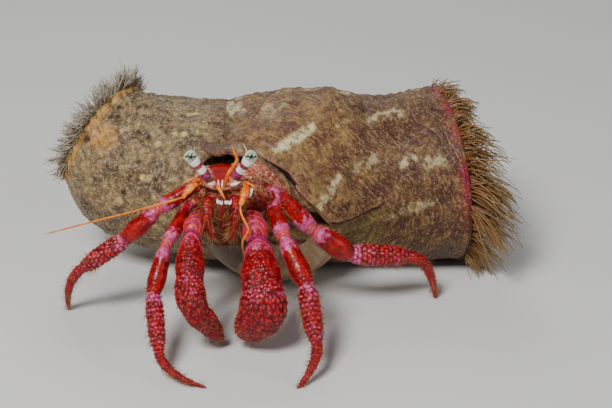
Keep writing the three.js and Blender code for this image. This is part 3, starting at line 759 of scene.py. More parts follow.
def shield_finish():
    """Calcified shield: red in the middle, mottled cream and pink at the flanks and front edge, with
    dark grooves and pits."""
    material, tree = new_material("shield")
    plate = mottled(tree, (168, 0, 2), (112, 0, 4), (206, 30, 10), 520.0, 0.6, 1700.0, 0.3)
    flank = reckon(tree, "MULTIPLY", mask(tree, "flank"), 0.8)
    layers = [("flank", 1.0, wall_colour(tree)["Color"]), ("grain", flank, (236, 184, 150))]
    colour = stained(tree, plate["Color"], *layers, ("edge", 0.6, (226, 150, 118)))
    dark = reckon(tree, "MAXIMUM", mask(tree, "groove"), mask(tree, "pit"))
    colour = mixed(tree, reckon(tree, "MULTIPLY", dark, 0.3), colour, (86, 0, 4))
    finish(tree, colour, plate["Height"], 0.00012, 0.6, Specular_IOR_Level=0.12)
    return material


tube_piece("body_wall", *body_surface(), body_finish(), "pale_skin", ["cephalothorax"])
tube_piece("shield_plate", *shield_surface(), shield_finish(), "red_shell", ["carapace_shield"])

# ---------------------------------------------------------------- the eyes and their stalks
# Stout banded stalks, magenta at the root, then white, a red ring and white again, each with a
# rounded glassy cornea whose dark spots look forward.
EYE_RADIUS = 1.8
EYE_INSET = 1.5  # mm that the cornea's near end lies inside the stalk's tip
EYE_OUTSET = 1.9  # mm that its far end stands out past it
EYESTALK = [(3.8, -38.4, 46.2), (8.1, -40.2, 53.1)]  # root and tip, x out from the middle plane
STALK_GIRTH = [1.5, 1.4, 1.5, 1.9]
GAZE = unit(np.array([0.05, -0.93, 0.36]))  # the direction that the dark spots face
SIDES = (("right", -1), ("left", 1))


def from_middle(points, side=1):
    """Places whose x counts out from the crab's middle plane, to its left or, at -1, its right."""
    return np.array([(CRAB_X + side * out, y, z) for out, y, z in points])


def eye_masks(grid, t):
    """Masks of a cornea: a dark star round its gaze, spots in a row beside it, and the pale root.

    The star's reach swings with the angle round the gaze, so it has six short arms."""
    toward = unit(grid - tube_points(grid).mean(axis=0))
    right = unit(np.cross(GAZE, [0, 0, 1]))
    x, y = toward @ right, toward @ np.cross(right, GAZE)
    facing, turn, off = toward @ GAZE > 0, np.arctan2(y, x), np.hypot(x, y)
    star = bell(off, 0.34 + 0.26 * np.abs(np.cos(3 * turn)) ** 2, 4)
    for place, rise in ((-0.66, 0.02), (-0.46, -0.1), (0.44, 0.14), (0.68, -0.02)):
        star = np.maximum(star, bell(np.hypot((x - place) / 1.4, y - rise), 0.15, 4))
    rays = (0.5 + 0.5 * np.cos(20 * turn)) * ease((0.95 - off) / 0.3)
    return {"star": star * facing, "rays": rays * facing, "root": 1 - ease((t - 0.1) / 0.14)}


def cornea_finish():
    """Glassy cornea: pale green-white with fine green rays, black spots and a white root."""
    material, tree = new_material("cornea")
    glass = mottled(tree, (206, 218, 190), (150, 168, 128), (240, 246, 232), 1500.0, 0.5, 4200.0, 0.5)
    layers = [("rays", 0.6, (84, 98, 60)), ("star", 1.0, (8, 10, 8)), ("root", 1.0, (236, 228, 216))]
    finish(tree, stained(tree, glass["Color"], *layers), glass["Height"], 0.00002, 0.25, 0.3, 0.1)
    return material


def stalk_finish():
    """Banded stalk, coloured along its length: magenta, white, a red ring, and white."""
    material, tree = new_material("banded_stalk")
    bands = [(0.0, (120, 4, 40)), (0.1, (132, 14, 96)), (0.24, (136, 14, 96)), (0.27, (150, 0, 30))]
    bands += [(0.3, (150, 0, 26)), (0.335, (240, 230, 236)), (0.52, (246, 240, 238))]
    bands += [(0.55, (146, 0, 10)), (0.68, (146, 0, 10)), (0.705, (246, 242, 238))]
    banding = ramp(tree, mask(tree, "along"), bands)
    skin = mottled(tree, banding, banding, (250, 214, 214), 900.0, 0.0, 2600.0, 0.2)
    finish(tree, skin["Color"], skin["Height"], 0.00006, 0.25, 0.5, 0.1)
    return material


cornea, banded = cornea_finish(), stalk_finish()
for name, side in SIDES:
    base, tip = from_middle(EYESTALK, side)
    on = unit(tip - base)
    t, angle = tube_grid(72, 72)
    ball = limb_form([tip - EYE_INSET * on, tip + EYE_OUTSET * on], [EYE_RADIUS], blunt=2.2)
    grid = on_limb(ball, t, angle)[0]
    tube_piece(f"{name}_cornea", grid, eye_masks(grid, t), cornea, "eye", [f"{name}_eye"])
    t, angle = tube_grid(90, 56)
    waist = 0.05 * np.sin(9 * t) - 0.16 * bell(t - 0.62, 0.05) - 0.05
    grid = on_limb(limb_form([base, tip], STALK_GIRTH), t, angle, waist)[0]
    tube_piece(f"{name}_banded_stalk", grid, {"along": t}, banded, "eyestalk", [f"{name}_eyestalk"])

# ---------------------------------------------------------------- the feelers and the face
# Orange antennae, each a stout jointed stem and a whip of fine rings, two thin antennules, orange
# spines beside the stems, white scales under the eyes, white teeth, and the outer mouth legs.
ANTENNAE = {
    "right_antenna": {
        "stem": [(-29.4, -39, 45.4), (-31.7, -43, 45.6), (-33.7, -43.6, 42.4)],
        "whip": [(-33.5, -43.5, 42.6), (-42.9, -42, 39), (-57.6, -36, 32.4), (-74.3, -28, 24.3)],
    },
    "left_antenna": {
        "stem": [(-16, -39, 45), (-16.4, -43.8, 44.4), (-17.9, -45, 40.8)],
        "whip": [
            (-17.9, -45, 41), (-17.7, -46.4, 39.2), (-16.7, -47.4, 37.2), (-15.7, -47.9, 34.8),
            (-17.2, -47.6, 31.6), (-17.3, -45.5, 27.5), (-15.5, -42, 20), (-13, -39, 11),
        ],
    },
}
STEM_WIDE = [1.0, 1.2, 0.75]
STEM_HIGH = [0.9, 0.9, 0.6]
WHIP_GIRTH = [0.38, 0.3, 0.26, 0.22]
WHIP_RING = 0.55  # mm from ring to ring of a whip
ANTENNULES = {
    "left_antennule": (
        [(-22.2, -40.4, 44.6), (-21.2, -43, 49.3), (-18.7, -44, 53.6), (-19.1, -44.5, 55.8),
         (-19.9, -45, 58.3)],
        [0.42, 0.44, 0.52, 0.48, 0.3],
    ),
    "right_antennule": (
        [(-24.6, -40.6, 45.4), (-23.4, -44.4, 45.2), (-22.1, -45.4, 42.9)], [0.42, 0.48, 0.34],
    ),
}
MOUTH_LEG = [(3.6, -38.5, 40.6), (5, -44.6, 35.6), (1.9, -42.6, 28.8)]  # x out from the middle plane
MOUTH_WIDE = [1.6, 1.9, 1.5, 1.0]
MOUTH_HIGH = [1.3, 1.4, 1.2, 0.8]
MOUTH_DRESS = {
    "grid": (120, 64), "pitch": 0.9, "round": 11, "pits": 0.4,
    "lilac": [0.1, 0.0], "knob": [0.5, 0.3, 0.6], "pale": [0.7],
}


def horn_finish(name, base, patch, speck):
    """Smooth translucent horn of the feelers, ringed fine and dark by the mask called ring."""
    material, tree = new_material(name)
    horn = mottled(tree, base, patch, speck, 500.0, 0.8, 2400.0, 0.4)
    colour = stained(tree, horn["Color"], ("ring", 0.55, patch))
    finish(tree, colour, horn["Height"], 0.00005, 0.38, 0.15, 0.2)
    return material


def feeler(name, form, rows, columns, spacing, depth, horn, nodes=()):
    """A feeler's piece, drawn in by depth at rings spacing mm apart, each ((1 + cos) / 2)^4."""
    t, angle = tube_grid(rows, columns)
    ring = (0.5 + 0.5 * np.cos(2 * math.pi * t * form["length"] / spacing)) ** 4
    tube_piece(name, on_limb(form, t, angle, -depth * ring)[0], {"ring": ring}, horn, "feeler", nodes)


orange_horn = horn_finish("orange_horn", (240, 140, 0), (208, 60, 0), (252, 204, 20))
white_horn = horn_finish("white_horn", (240, 232, 224), (214, 190, 180), (255, 250, 246))
for name, parts in ANTENNAE.items():
    stem, whip = limb_form(parts["stem"], STEM_WIDE, STEM_HIGH), limb_form(parts["whip"], WHIP_GIRTH)
    whip_rows = int(whip["length"] / WHIP_RING * 8)
    feeler(f"{name}_stem_horn", stem, 110, 40, 3.0, 0.12, orange_horn, [f"{name}_stem"])
    feeler(f"{name}_whip_horn", whip, whip_rows, 10, WHIP_RING, 0.06, orange_horn, [f"{name}_whip"])
for name, (path, girth) in ANTENNULES.items():
    feeler(f"{name}_horn", limb_form(path, girth), 120, 20, 0.9, 0.08, orange_horn, [name])
for name, side in SIDES:
    form = limb_form(from_middle(MOUTH_LEG, side), MOUTH_WIDE, MOUTH_HIGH, LEVEL)
    limb_piece(name, "mouth_leg", form, MOUTH_DRESS, 0.3, 640 + side, claw_cuticle)

# Small plates that grow from the front of the head, on its right and left: the horn, the path,
# whose x counts out from the middle plane, and the girths along it.
FACE = {
    "right_spine": (
        orange_horn, [(-5.4, -39, 45.4), (-6.1, -41.5, 46.9), (-7.5, -42, 47.4), (-10.6, -42.5, 46.3)],
        [0.5, 0.5, 0.42, 0.25],
    ),
    "left_spine": (
        orange_horn, [(6.2, -39, 45.2), (7.2, -41.8, 46.0), (8.5, -42.3, 45.7), (9.6, -42.4, 44.4)],
        [0.5, 0.42, 0.38, 0.2],
    ),
    "right_scale": (
        white_horn, [(-1.6, -39.4, 44.9), (-2.4, -42, 45.6), (-3.6, -42.4, 46.1)], [0.45, 0.62, 0.35],
    ),
    "left_scale": (
        white_horn, [(2.2, -39.4, 44.7), (3.2, -42.2, 45.5), (5.3, -41.6, 46.4)], [0.45, 0.58, 0.25],
    ),
    "right_prong": (
        white_horn, [(-0.9, -39.8, 46.2), (-0.7, -41.6, 45.9), (-0.5, -42.2, 44.8)], [0.2, 0.26, 0.14],
    ),
    "left_prong": (
        white_horn, [(0.3, -39.8, 46.2), (0.35, -41.6, 45.9), (0.2, -42.2, 44.9)], [0.2, 0.26, 0.14],
    ),
    "right_tooth": (
        white_horn,
        [(-1.0, -44.4, 42.7), (-0.75, -45, 41.5), (-0.3, -45, 42.0), (0.1, -45, 41.2), (0.5, -44.7, 42.2)],
        [0.16, 0.4, 0.34, 0.38, 0.14],
    ),
    "left_tooth": (
        white_horn,
        [(1.15, -44.6, 42.5), (1.45, -45, 41.4), (1.95, -45, 41.9), (2.4, -45, 41.3), (2.9, -44.5, 42.4)],
        [0.16, 0.38, 0.34, 0.4, 0.14],
    ),
    "left_cheek": (white_horn, [(8.5, -40.9, 44.5), (8.1, -42, 43.1), (7.6, -41.8, 41.7)], [0.35, 0.48, 0.3]),
}
for name, (horn, path, girth) in FACE.items():
    feeler(name, limb_form(from_middle(path), girth, blunt=3.0), 60, 28, 1.4, 0.03, horn)

# ---------------------------------------------------------------- the shell
# A heavy, rounded sea-snail shell, hidden by the anemones but for its spire at the back and its
# lower lip in front: cream to brown, spirally ribbed, with growth lines and a smooth pale mouth.
APEX = np.array([-14.0, 49.0, 17.5])  # the spire's tip
FRONT = np.array([-8.0, -22.5, 26.8])  # the middle of the shell's front end
SHELL_RADIUS = 24.6
WIDEST = 0.64  # where it is widest, as a share of the way from apex to front
WHORL_RATIO = 1.9  # how much wider the shell grows in one turn
SUTURE = 0.12  # how far the groove between the whorls is drawn in, as a share of the radius
OPENING_PATH = [(-33, -18, 40), (-24, -22, 36.5), (-12, -22, 32.5), (-3, -21, 26.5), (8, -18, 20.5)]
OPENING_DEEP = [11, 15, 15, 12, 6]  # mm, half widths of the opening's rounded tube
OPENING_HIGH = [9, 11.4, 9, 5.5, 2.5]
SHADE_BELOW_CRAB_X = -22  # the middle of the painted shade low in the opening, below the crab and between the claws
shell_axis = unit(FRONT - APEX)
shell_length = np.linalg.norm(FRONT - APEX)
shell_e1 = unit(np.cross(shell_axis, [0, 0, 1]))
shell_e2 = np.cross(shell_axis, shell_e1)
opening = limb_form(OPENING_PATH, OPENING_DEEP, OPENING_HIGH, [0, -1, 0], blunt=2.6)


def whorls(t):
    """How many turns the shell has made at t: log(t / widest) / log(whorl ratio)."""
    return np.log(np.maximum(t, 0.01) / WIDEST) / math.log(WHORL_RATIO)


def shell_radius(t, turn, grow=0.0):
    """The shell's radius at t from apex to front, and a turn in 0..1 round its axis.

    It swells as sin(pi t / 2 widest)^0.85 and closes at the front as (1 - past^3.6)^0.4. The suture
    is a groove where the whorls less the turn are a whole number."""
    past = np.clip((t - WIDEST) / (1 - WIDEST), 0, 1)
    rising = np.sin(math.pi / 2 * np.clip(t / WIDEST, 0, 1)) ** 0.85
    swell = rising * (1 - past**3.6) ** 0.4
    phase = whorls(t) - turn
    groove = SUTURE * bell(phase - np.round(phase), 0.16) * (t < 0.5)
    return swell * (SHELL_RADIUS * (1 - groove) + grow)


def outside_opening(points):
    """How far points lie outside the opening's rounded tube, in mm, and below 0 inside it.

    Each point is set against the nearest step of the tube's path, and its distance is scaled by
    the half widths there."""
    steps = np.linspace(0, 1, 161)
    flat = points.reshape(-1, 3)
    at = np.stack([np.interp(steps, opening["share"], opening["line"][:, k]) for k in range(3)], -1)
    nearest = np.argmin(((flat[:, None, :] - at[None]) ** 2).sum(-1), axis=1)
    tangent = unit(np.gradient(at, axis=0))
    ax = unit(opening["across"] - (tangent @ opening["across"])[:, None] * tangent)
    up = np.cross(tangent, ax)
    cap = np.maximum(1e-3, 1 - np.abs(2 * steps - 1) ** opening["blunt"]) ** (1 / opening["blunt"])
    deep, high = cap * smooth_steps(OPENING_DEEP, steps), cap * smooth_steps(OPENING_HIGH, steps)
    off = flat - at[nearest]
    least = np.minimum(deep, high)[nearest]
    a = np.sum(off * ax[nearest], -1) / deep[nearest] * least
    b = np.sum(off * up[nearest], -1) / high[nearest] * least
    c = np.sum(off * tangent[nearest], -1)
    return (np.sqrt(a * a + b * b + c * c) - least).reshape(points.shape[:-1])


def pressed_in(points, margin, floor_y, edge=0.8):
    """Points inside the opening, grown by margin, pushed back along +Y to floor_y, over edge mm.
    Gives the points and how far outside the opening each was."""
    outside = outside_opening(points) - margin
    share = ease(-outside / edge)
    pushed = points.copy()
    pushed[..., 1] += share * np.maximum(0, floor_y - points[..., 1]) * (points[..., 1] < floor_y)
    return pushed, outside


def painted_shade_below_crab(points, low=12):
    """Painted shade: how dark shell and skin are painted low in the opening between the claws, where
    the crab's body shades them, fading out towards a height of low."""
    across = bell(points[..., 0] - SHADE_BELOW_CRAB_X, 10, 4) * ease((-11 - points[..., 1]) / 4)
    height = points[..., 2] + 2.0 * swell_noise(points, 5.0, 808)
    return across * ease((31 - height) / 3) * ease((height - low) / 8)


def shell_surface(rows=300, columns=230):
    """The shell on a grid from apex to front, ribbed round the whorls, with its mouth pressed in."""
    t, angle = tube_grid(rows, columns)
    turn = angle / (2 * math.pi)
    phase = whorls(t) - turn
    growth = 0.5 + 0.5 * np.sin(2 * math.pi * (turn * 46 + 0.6 * np.sin(phase * 9)))
    ribs = 0.5 + 0.5 * np.cos(2 * math.pi * phase * 9)
    swell = np.sin(math.pi * np.clip(t, 0, 1)) ** 0.5
    radius = shell_radius(t, turn) + swell * (0.32 * ribs + 0.1 * growth * (1 - ribs) - 0.35)
    radius[0] = radius[-1] = 0
    out = shell_e1 * np.cos(angle)[..., None] + shell_e2 * np.sin(angle)[..., None]
    at = APEX + shell_axis * (t * shell_length)[..., None] + out * radius[..., None]
    at[..., 2] = np.maximum(at[..., 2], 0.0)
    mouth, outside = pressed_in(at, 0.0, -7.0, 0.7)
    shadow = 3.4 * ease((mouth[..., 2] - 35) / 3)  # painted shadow, near black, inside the mouth and on the rim above the crab
    deep = ease((shadow - outside) / 0.8) * ease((mouth[..., 2] - 20) / 5)
    masks = {"rib": ribs, "growth": growth, "mouth": ease((0.9 - outside) / 1.2), "old": 1 - ease(t / 0.35)}
    # the painted shade low between the claws joins the painted shadow of the mouth
    return mouth, {**masks, "deep": np.maximum(deep, 0.8 * painted_shade_below_crab(mouth, 4))}


def shell_finish():
    """Shell: cream and tan with brown spiral bands and growth lines, worn pale at the apex, and a
    smooth pale mouth, with painted shade, near black, inside the mouth and below the crab."""
    material, tree = new_material("sea_shell")
    lime = mottled(tree, (170, 136, 92), (116, 80, 46), (210, 186, 142), 130.0, 0.8, 900.0, 0.5)
    layers = [("rib", 0.35, (206, 184, 146)), ("growth", 0.22, (98, 68, 44)), ("old", 0.5, (196, 176, 156))]
    # deep lays on the painted shade, near black, in the mouth and below the crab
    layers += [("mouth", 0.8, (176, 148, 96)), ("deep", 0.94, (26, 12, 8))]
    finish(tree, stained(tree, lime["Color"], *layers), lime["Height"], 0.0003, 0.45, 0.15, 0.25)
    return material


tube_piece("snail_shell", *shell_surface(), shell_finish(), "sea_shell", ["shell"])

# ---------------------------------------------------------------- the anemones' skins
# Two sea anemones whose feet sheath the shell and meet in a seam. Each column is a thick muscular
# tube of flesh, wrinkled across and streaked along, that ends in a swollen rim round the mouth disc.
SHEATH = 2.2  # mm, thickness of the feet over the shell
SEAM_X = -24  # where the two feet meet
BARE_SPIRE_Y = 38  # the shell is bare behind this
BARE_LIP_Z = 19  # and below this
SKIN_INSET = 0.35  # how far the skin lies inside the solids
SKIN_BLEND = 1.5  # over how many mm the column and the sheath run into each other
IN_FRONT = 8  # y before which streaks, spots and knobs keep the places given for them
FRONT_CROWDING = 0.5  # how much closer the grid's columns are in front than at the mean
RIM_BULGE = 1.7  # mm that the rim stands out past the column's end
DISC_DISH = 1.6  # mm that the mouth disc is hollowed inside it
MOUTH_CONE = 2.2  # mm that the disc rises again round the mouth
# Rings of the columns: x, y, z, lean and turn in degrees, half height and half depth.
RIGHT_COLUMN = [
    (-14, 8, 25.5, 0, 0, 24.6, 25), (-24, 8, 25.6, 0, 0, 24.8, 25.4), (-34, 8.5, 26.4, 2, 1, 24.1, 25),
    (-44, 9, 27.8, 7, 5, 23.5, 24.4), (-52, 9, 30, 16, 10, 22.8, 23),
    (-57.8, 9, 33.8, 24, 15, 21.0, 21.3), (-60.3, 9, 37.8, 29, 19, 18.8, 19.2),
    (-61.6, 9, 40.9, 31, 22, 17.3, 17.4),
]
LEFT_COLUMN = [
    (-24, 8, 25.4, 0, 0, 24.8, 25.4), (-15, 9, 25.8, 0, 0, 26.0, 27), (-4, 10, 26.5, 0, 0, 26.8, 28),
    (7, 10, 26.5, 0, 0, 26.8, 28), (17, 11, 25.4, 0, 2, 25.7, 26.4), (25, 11, 25.2, 1, 5, 25.5, 25.8),
    (33, 11, 26.0, 3, 9, 26.3, 26), (41.5, 11, 26.8, 5, 13, 26.8, 26.6),
]
# The free edge of the left anemone's foot, where it hangs as a flap: its height at values of x.
FLAP_X = [0.9, 4.4, 9.9, 15.1, 21.3, 26.0]
FLAP_Z = [27.0, 25.1, 24.0, 24.2, 26.8, 31.0]
FLAP_DROP = 1.3  # mm, how far the body below it stands back
# Pale streaks on the anemones' fronts: x and z of their two ends, a half width and a strength.
LEFT_STREAKS = [
    (-12.2, 51.6, -6.5, 52.2, 1.3, 0.62), (-8.6, 46.4, 1.4, 49.0, 1.5, 1.0),
    (8.8, 48.4, 13.0, 48.7, 0.9, 0.6), (18.6, 48.6, 27.6, 49.6, 2.0, 0.68),
    (-24.6, 49.7, -19.3, 50.6, 1.7, 0.8), (1.4, 26.6, 9.4, 37.2, 1.2, 0.85),
    (15.0, 38.4, 19.8, 39.8, 1.8, 0.56), (28.0, 38.8, 31.0, 40.4, 1.8, 0.7),
    (35.4, 39.2, 40.6, 39.8, 1.7, 0.6), (28.4, 25.4, 36.0, 27.6, 1.9, 0.5),
    (-12.8, 43.2, -9.0, 38.2, 0.5, 0.8), (20.0, 22.6, 26.0, 23.4, 1.2, 0.55),
]
STREAK = 0.9  # strength of the right anemone's streaks
RIGHT_STREAKS = [
    (-36.5, 46.0, -30.5, 46.8, 0.8, STREAK), (-35.0, 49.2, -31.0, 49.6, 0.6, STREAK),
    (-40.0, 52.2, -34.0, 53.2, 0.6, STREAK), (-47.6, 35.5, -45.0, 35.5, 1.0, STREAK),
    (-43.4, 44.1, -42.6, 44.1, 0.9, STREAK), (-38.5, 46.0, -37.9, 46.0, 0.8, STREAK),
    (-53.8, 47.4, -52.6, 47.6, 0.7, STREAK), (-55.7, 28.2, -54.5, 28.2, 1.0, STREAK),
    (-44.0, 30.0, -38.0, 29.0, 0.7, STREAK), (-50.0, 22.0, -44.0, 20.0, 0.8, STREAK),
]
# Round brown spots on the right anemone: x and z, and a radius.
RIGHT_SPOTS = [
    (-63.9, 45.6, 1.3), (-54.9, 52.7, 0.8), (-49.4, 51.6, 0.9), (-55.1, 50.7, 0.7), (-41.2, 50.0, 0.7),
    (-49.0, 46.9, 0.8), (-46.1, 45.5, 1.1), (-57.3, 50.8, 0.6), (-42.6, 47.6, 0.7), (-52.5, 46.8, 0.7),
    (-48.7, 39.8, 0.8), (-44.0, 35.2, 0.9), (-49.0, 34.8, 0.7), (-51.2, 35.9, 0.6), (-53.3, 31.1, 0.9),
    (-47.5, 51.2, 0.6), (-28.4, 48.1, 0.6), (-27.0, 48.1, 0.8), (-25.7, 48.1, 0.6),
]
# Knobs on the left anemone: x and z, a radius and a height.
LEFT_KNOBS = [
    (-21.4, 47.4, 2.4, 0.7), (3.2, 49.1, 2.0, 0.5), (7.0, 43.3, 1.4, 0.35), (11.9, 38.0, 2.0, 0.55),
    (18.6, 37.7, 1.2, 0.35), (-16.8, 44.0, 1.2, 0.4),
]


def ring_of(column, heading, t):
    """Centre, outward normal, up and back directions and half widths of an anemone's ring at t, 0..1
    from foot to mouth. A lean turns the ring's face up, and a turn then turns it to the back."""
    x, y, z, lean, turn, high, deep = (smooth_steps(values, t) for values in zip(*column))
    a, w = np.radians(lean), np.radians(turn)
    level = np.stack([heading * np.cos(a), 0 * a, np.sin(a)], -1)
    up = np.stack([-heading * np.sin(a), 0 * a, np.cos(a)], -1)
    along_y = np.array([0.0, 1.0, 0.0])
    normal = level * np.cos(w)[..., None] + along_y * np.sin(w)[..., None]
    back = heading * (along_y * np.cos(w)[..., None] - level * np.sin(w)[..., None])
    return np.stack([x, y, z], -1), normal, up, back, high, deep


def inside_shell(points, grow):
    """How far points lie inside the shell grown by grow: its radius there less their distance from
    its axis, and below 0 beyond its ends."""
    from_apex = points - APEX
    down = from_apex @ shell_axis
    t = (down + grow) / (shell_length + 2 * grow)
    off = from_apex - down[..., None] * shell_axis
    turn = np.mod(np.arctan2(off @ shell_e2, off @ shell_e1) / (2 * math.pi), 1)
    radius = shell_radius(np.clip(t, 0, 1), turn, grow)
    return np.where((t > 0) & (t < 1), radius, -1.0) - np.linalg.norm(off, axis=-1)


def sheath_radius(centre, ray, grow):
    """How far a ray from a ring's centre runs before it leaves the grown shell, by halving, and
    stopped at the bare spire and the bare lip."""
    near, far = np.zeros(ray.shape[:-1]), np.full(ray.shape[:-1], 60.0)
    for _ in range(18):
        middle = (near + far) / 2
        within = inside_shell(centre + ray * middle[..., None], grow) > 0
        near, far = np.where(within, middle, near), np.where(within, far, middle)
    spire = (BARE_SPIRE_Y - centre[..., 1]) / np.maximum(ray[..., 1], 1e-3)
    lip = (centre[..., 2] - BARE_LIP_Z) / np.maximum(-ray[..., 2], 1e-3)
    return np.minimum(near, np.minimum(spire, lip))


def anemone_grid(heading, first, rows, columns):
    """The skin's bare grid: shares along the column, how far each row is drawn in towards the mouth
    and out along the normal, and the angles, which crowd in front."""
    base, rim, disc = 8, 16, 26
    wall = rows - base - rim - disc
    t = np.concatenate([np.full(base, first), np.linspace(first, 1, wall), np.ones(rim + disc)])
    turn = np.linspace(0, math.pi, rim + 1)[1:]
    toward = np.linspace(0, 1, disc + 1)[1:]
    draw = [np.linspace(0, 1, base), np.ones(wall), 1 - 0.045 * (1 - np.cos(turn)), 0.91 * (1 - toward)]
    dish = -DISC_DISH * np.sin(math.pi * toward) ** 0.8 + MOUTH_CONE * bell(1 - toward, 0.16) * toward
    out = [np.zeros(base + wall), RIM_BULGE * np.sin(turn), dish]
    even = 2 * math.pi * np.arange(columns) / columns
    angle = even - FRONT_CROWDING * np.sin(even - (math.pi if heading > 0 else 0.0))
    draw, angle = np.meshgrid(np.concatenate(draw), angle, indexing="ij")
    return t, draw, np.concatenate(out), angle


def anemone_surface(column, heading, first, rows, columns):
    """An anemone's smooth skin: the ring's ellipse or the sheath over the shell, whichever stands
    further out, blended. Gives points, outward directions, and the grid's shares and angles."""
    t, draw, out, angle = anemone_grid(heading, first, rows, columns)
    centre, normal, up, back, high, deep = (values[:, None] for values in ring_of(column, heading, t))
    ray = up * (np.sin(angle) * high)[..., None] + back * (np.cos(angle) * deep)[..., None]
    ellipse = np.linalg.norm(ray, axis=-1)
    ray = unit(ray)
    centre = centre + 0 * ray
    sheath = sheath_radius(centre, ray, SHEATH)
    radius = np.logaddexp(ellipse / SKIN_BLEND, sheath / SKIN_BLEND) * SKIN_BLEND - SKIN_INSET
    points = centre + ray * (radius * draw)[..., None] + normal * out[:, None, None]
    return points, ray, t[:, None] + 0 * draw, draw, angle


def apart(right, rise, ray):
    """Distances on the skin for steps to the right and up as seen from in front. A rise counts for
    more where the skin lies flatter, by 1 / sqrt(1 - the outward direction's z squared)."""
    return np.hypot(right, rise / np.sqrt(np.clip(1 - ray[..., 2] ** 2, 0.04, 1)))


def streaks(points, ray, rows, seed):
    """How much of a pale streak covers each point. A streak runs between two places seen from in
    front, and it fades outward from its middle, frayed and broken by noise."""
    frayed = 0.5 * swell_noise(points, 0.9, seed) + 0.8 * swell_noise(points, 2.4, seed + 1)
    total = np.zeros(points.shape[:-1])
    for x0, z0, x1, z1, half, strength in rows:
        line = np.array([x1 - x0, z1 - z0])
        off = points[..., [0, 2]] - np.array([x0, z0])
        off = off - np.clip(off @ line / (line @ line), 0, 1)[..., None] * line
        away = apart(off[..., 0], off[..., 1], ray)
        covered = np.exp(-0.9 * (away / half) ** 2) * (1 + 0.9 * frayed)
        total = np.maximum(total, strength * np.clip(covered, 0, 1))
    return total * ease((16 - points[..., 1]) / 6)


def back_streaks(points, angle, seed):
    """The same streaks where nothing sets their place: dashes along the column, strewn by cells."""
    _, past, beside, tone = nearest_seed(points[..., 0] / 9, angle / (2 * math.pi) * 18, 18, seed, 0.9)
    frayed = 0.4 * swell_noise(points, 2.0, seed + 1)
    away = np.hypot(past / 0.45, beside / 0.14)
    return ease(1.3 - away + frayed) * (tone > 0.4) * ease((points[..., 1] - IN_FRONT) / 8)


def knobs_at(points, ray, rows):
    """The height of the knobs set by x, z, radius and height, each a rounded hump."""
    total = np.zeros(points.shape[:-1])
    for x, z, radius, height in rows:
        away = apart(points[..., 0] - x, points[..., 2] - z, ray)
        total = np.maximum(total, height * hump(away, radius, 0.7))
    return total * (points[..., 1] < IN_FRONT)


def gullet(t, draw):
    """The dark mouth in the middle of a disc."""
    return (t > 0.9999) * bell(draw, 0.09)


def mouth_disc(t, draw, angle):
    """The disc round the mouth, with fine lines that run out from it."""
    lines = 0.72 + 0.28 * np.cos(48 * angle) * ease((draw - 0.08) / 0.2)
    return (draw < 0.92) * (t > 0.5) * lines * (1 - gullet(t, draw))


def relief(points, ray, lift, wall):
    """Skin points raised by lift where they are wall, with a furrow at the seam and at the opening,
    and pressed in at the opening. Gives them and how far outside the opening they are."""
    opening_edge = bell(np.clip(outside_opening(points) - 1.0, 0, 9), 0.5, 1)
    lift = lift - 0.4 * opening_edge - 0.15 * bell(points[..., 0] - SEAM_X, 0.9)
    return pressed_in(points + ray * (lift * wall)[..., None], 1.0, -1.0)


def shared_masks(points, outside, t, draw, angle):
    """The masks that both skins have in the same way: the foot's edge at the opening, the disc, the
    blend at the seam, and the dark: painted shade in the opening and low below the crab, and the gullet."""
    edge = bell(np.clip(outside - 0.3, 0, 9), 0.45)
    # painted shade where the skin is pressed into the opening and low below the crab, with the dark gullet
    dark = ease(-outside / 1.2) + gullet(t, draw) + painted_shade_below_crab(points)
    blend = bell(points[..., 0] - SEAM_X, 4.5, 4)
    return {"edge": edge, "dark": dark, "disc": mouth_disc(t, draw, angle), "blend": blend}


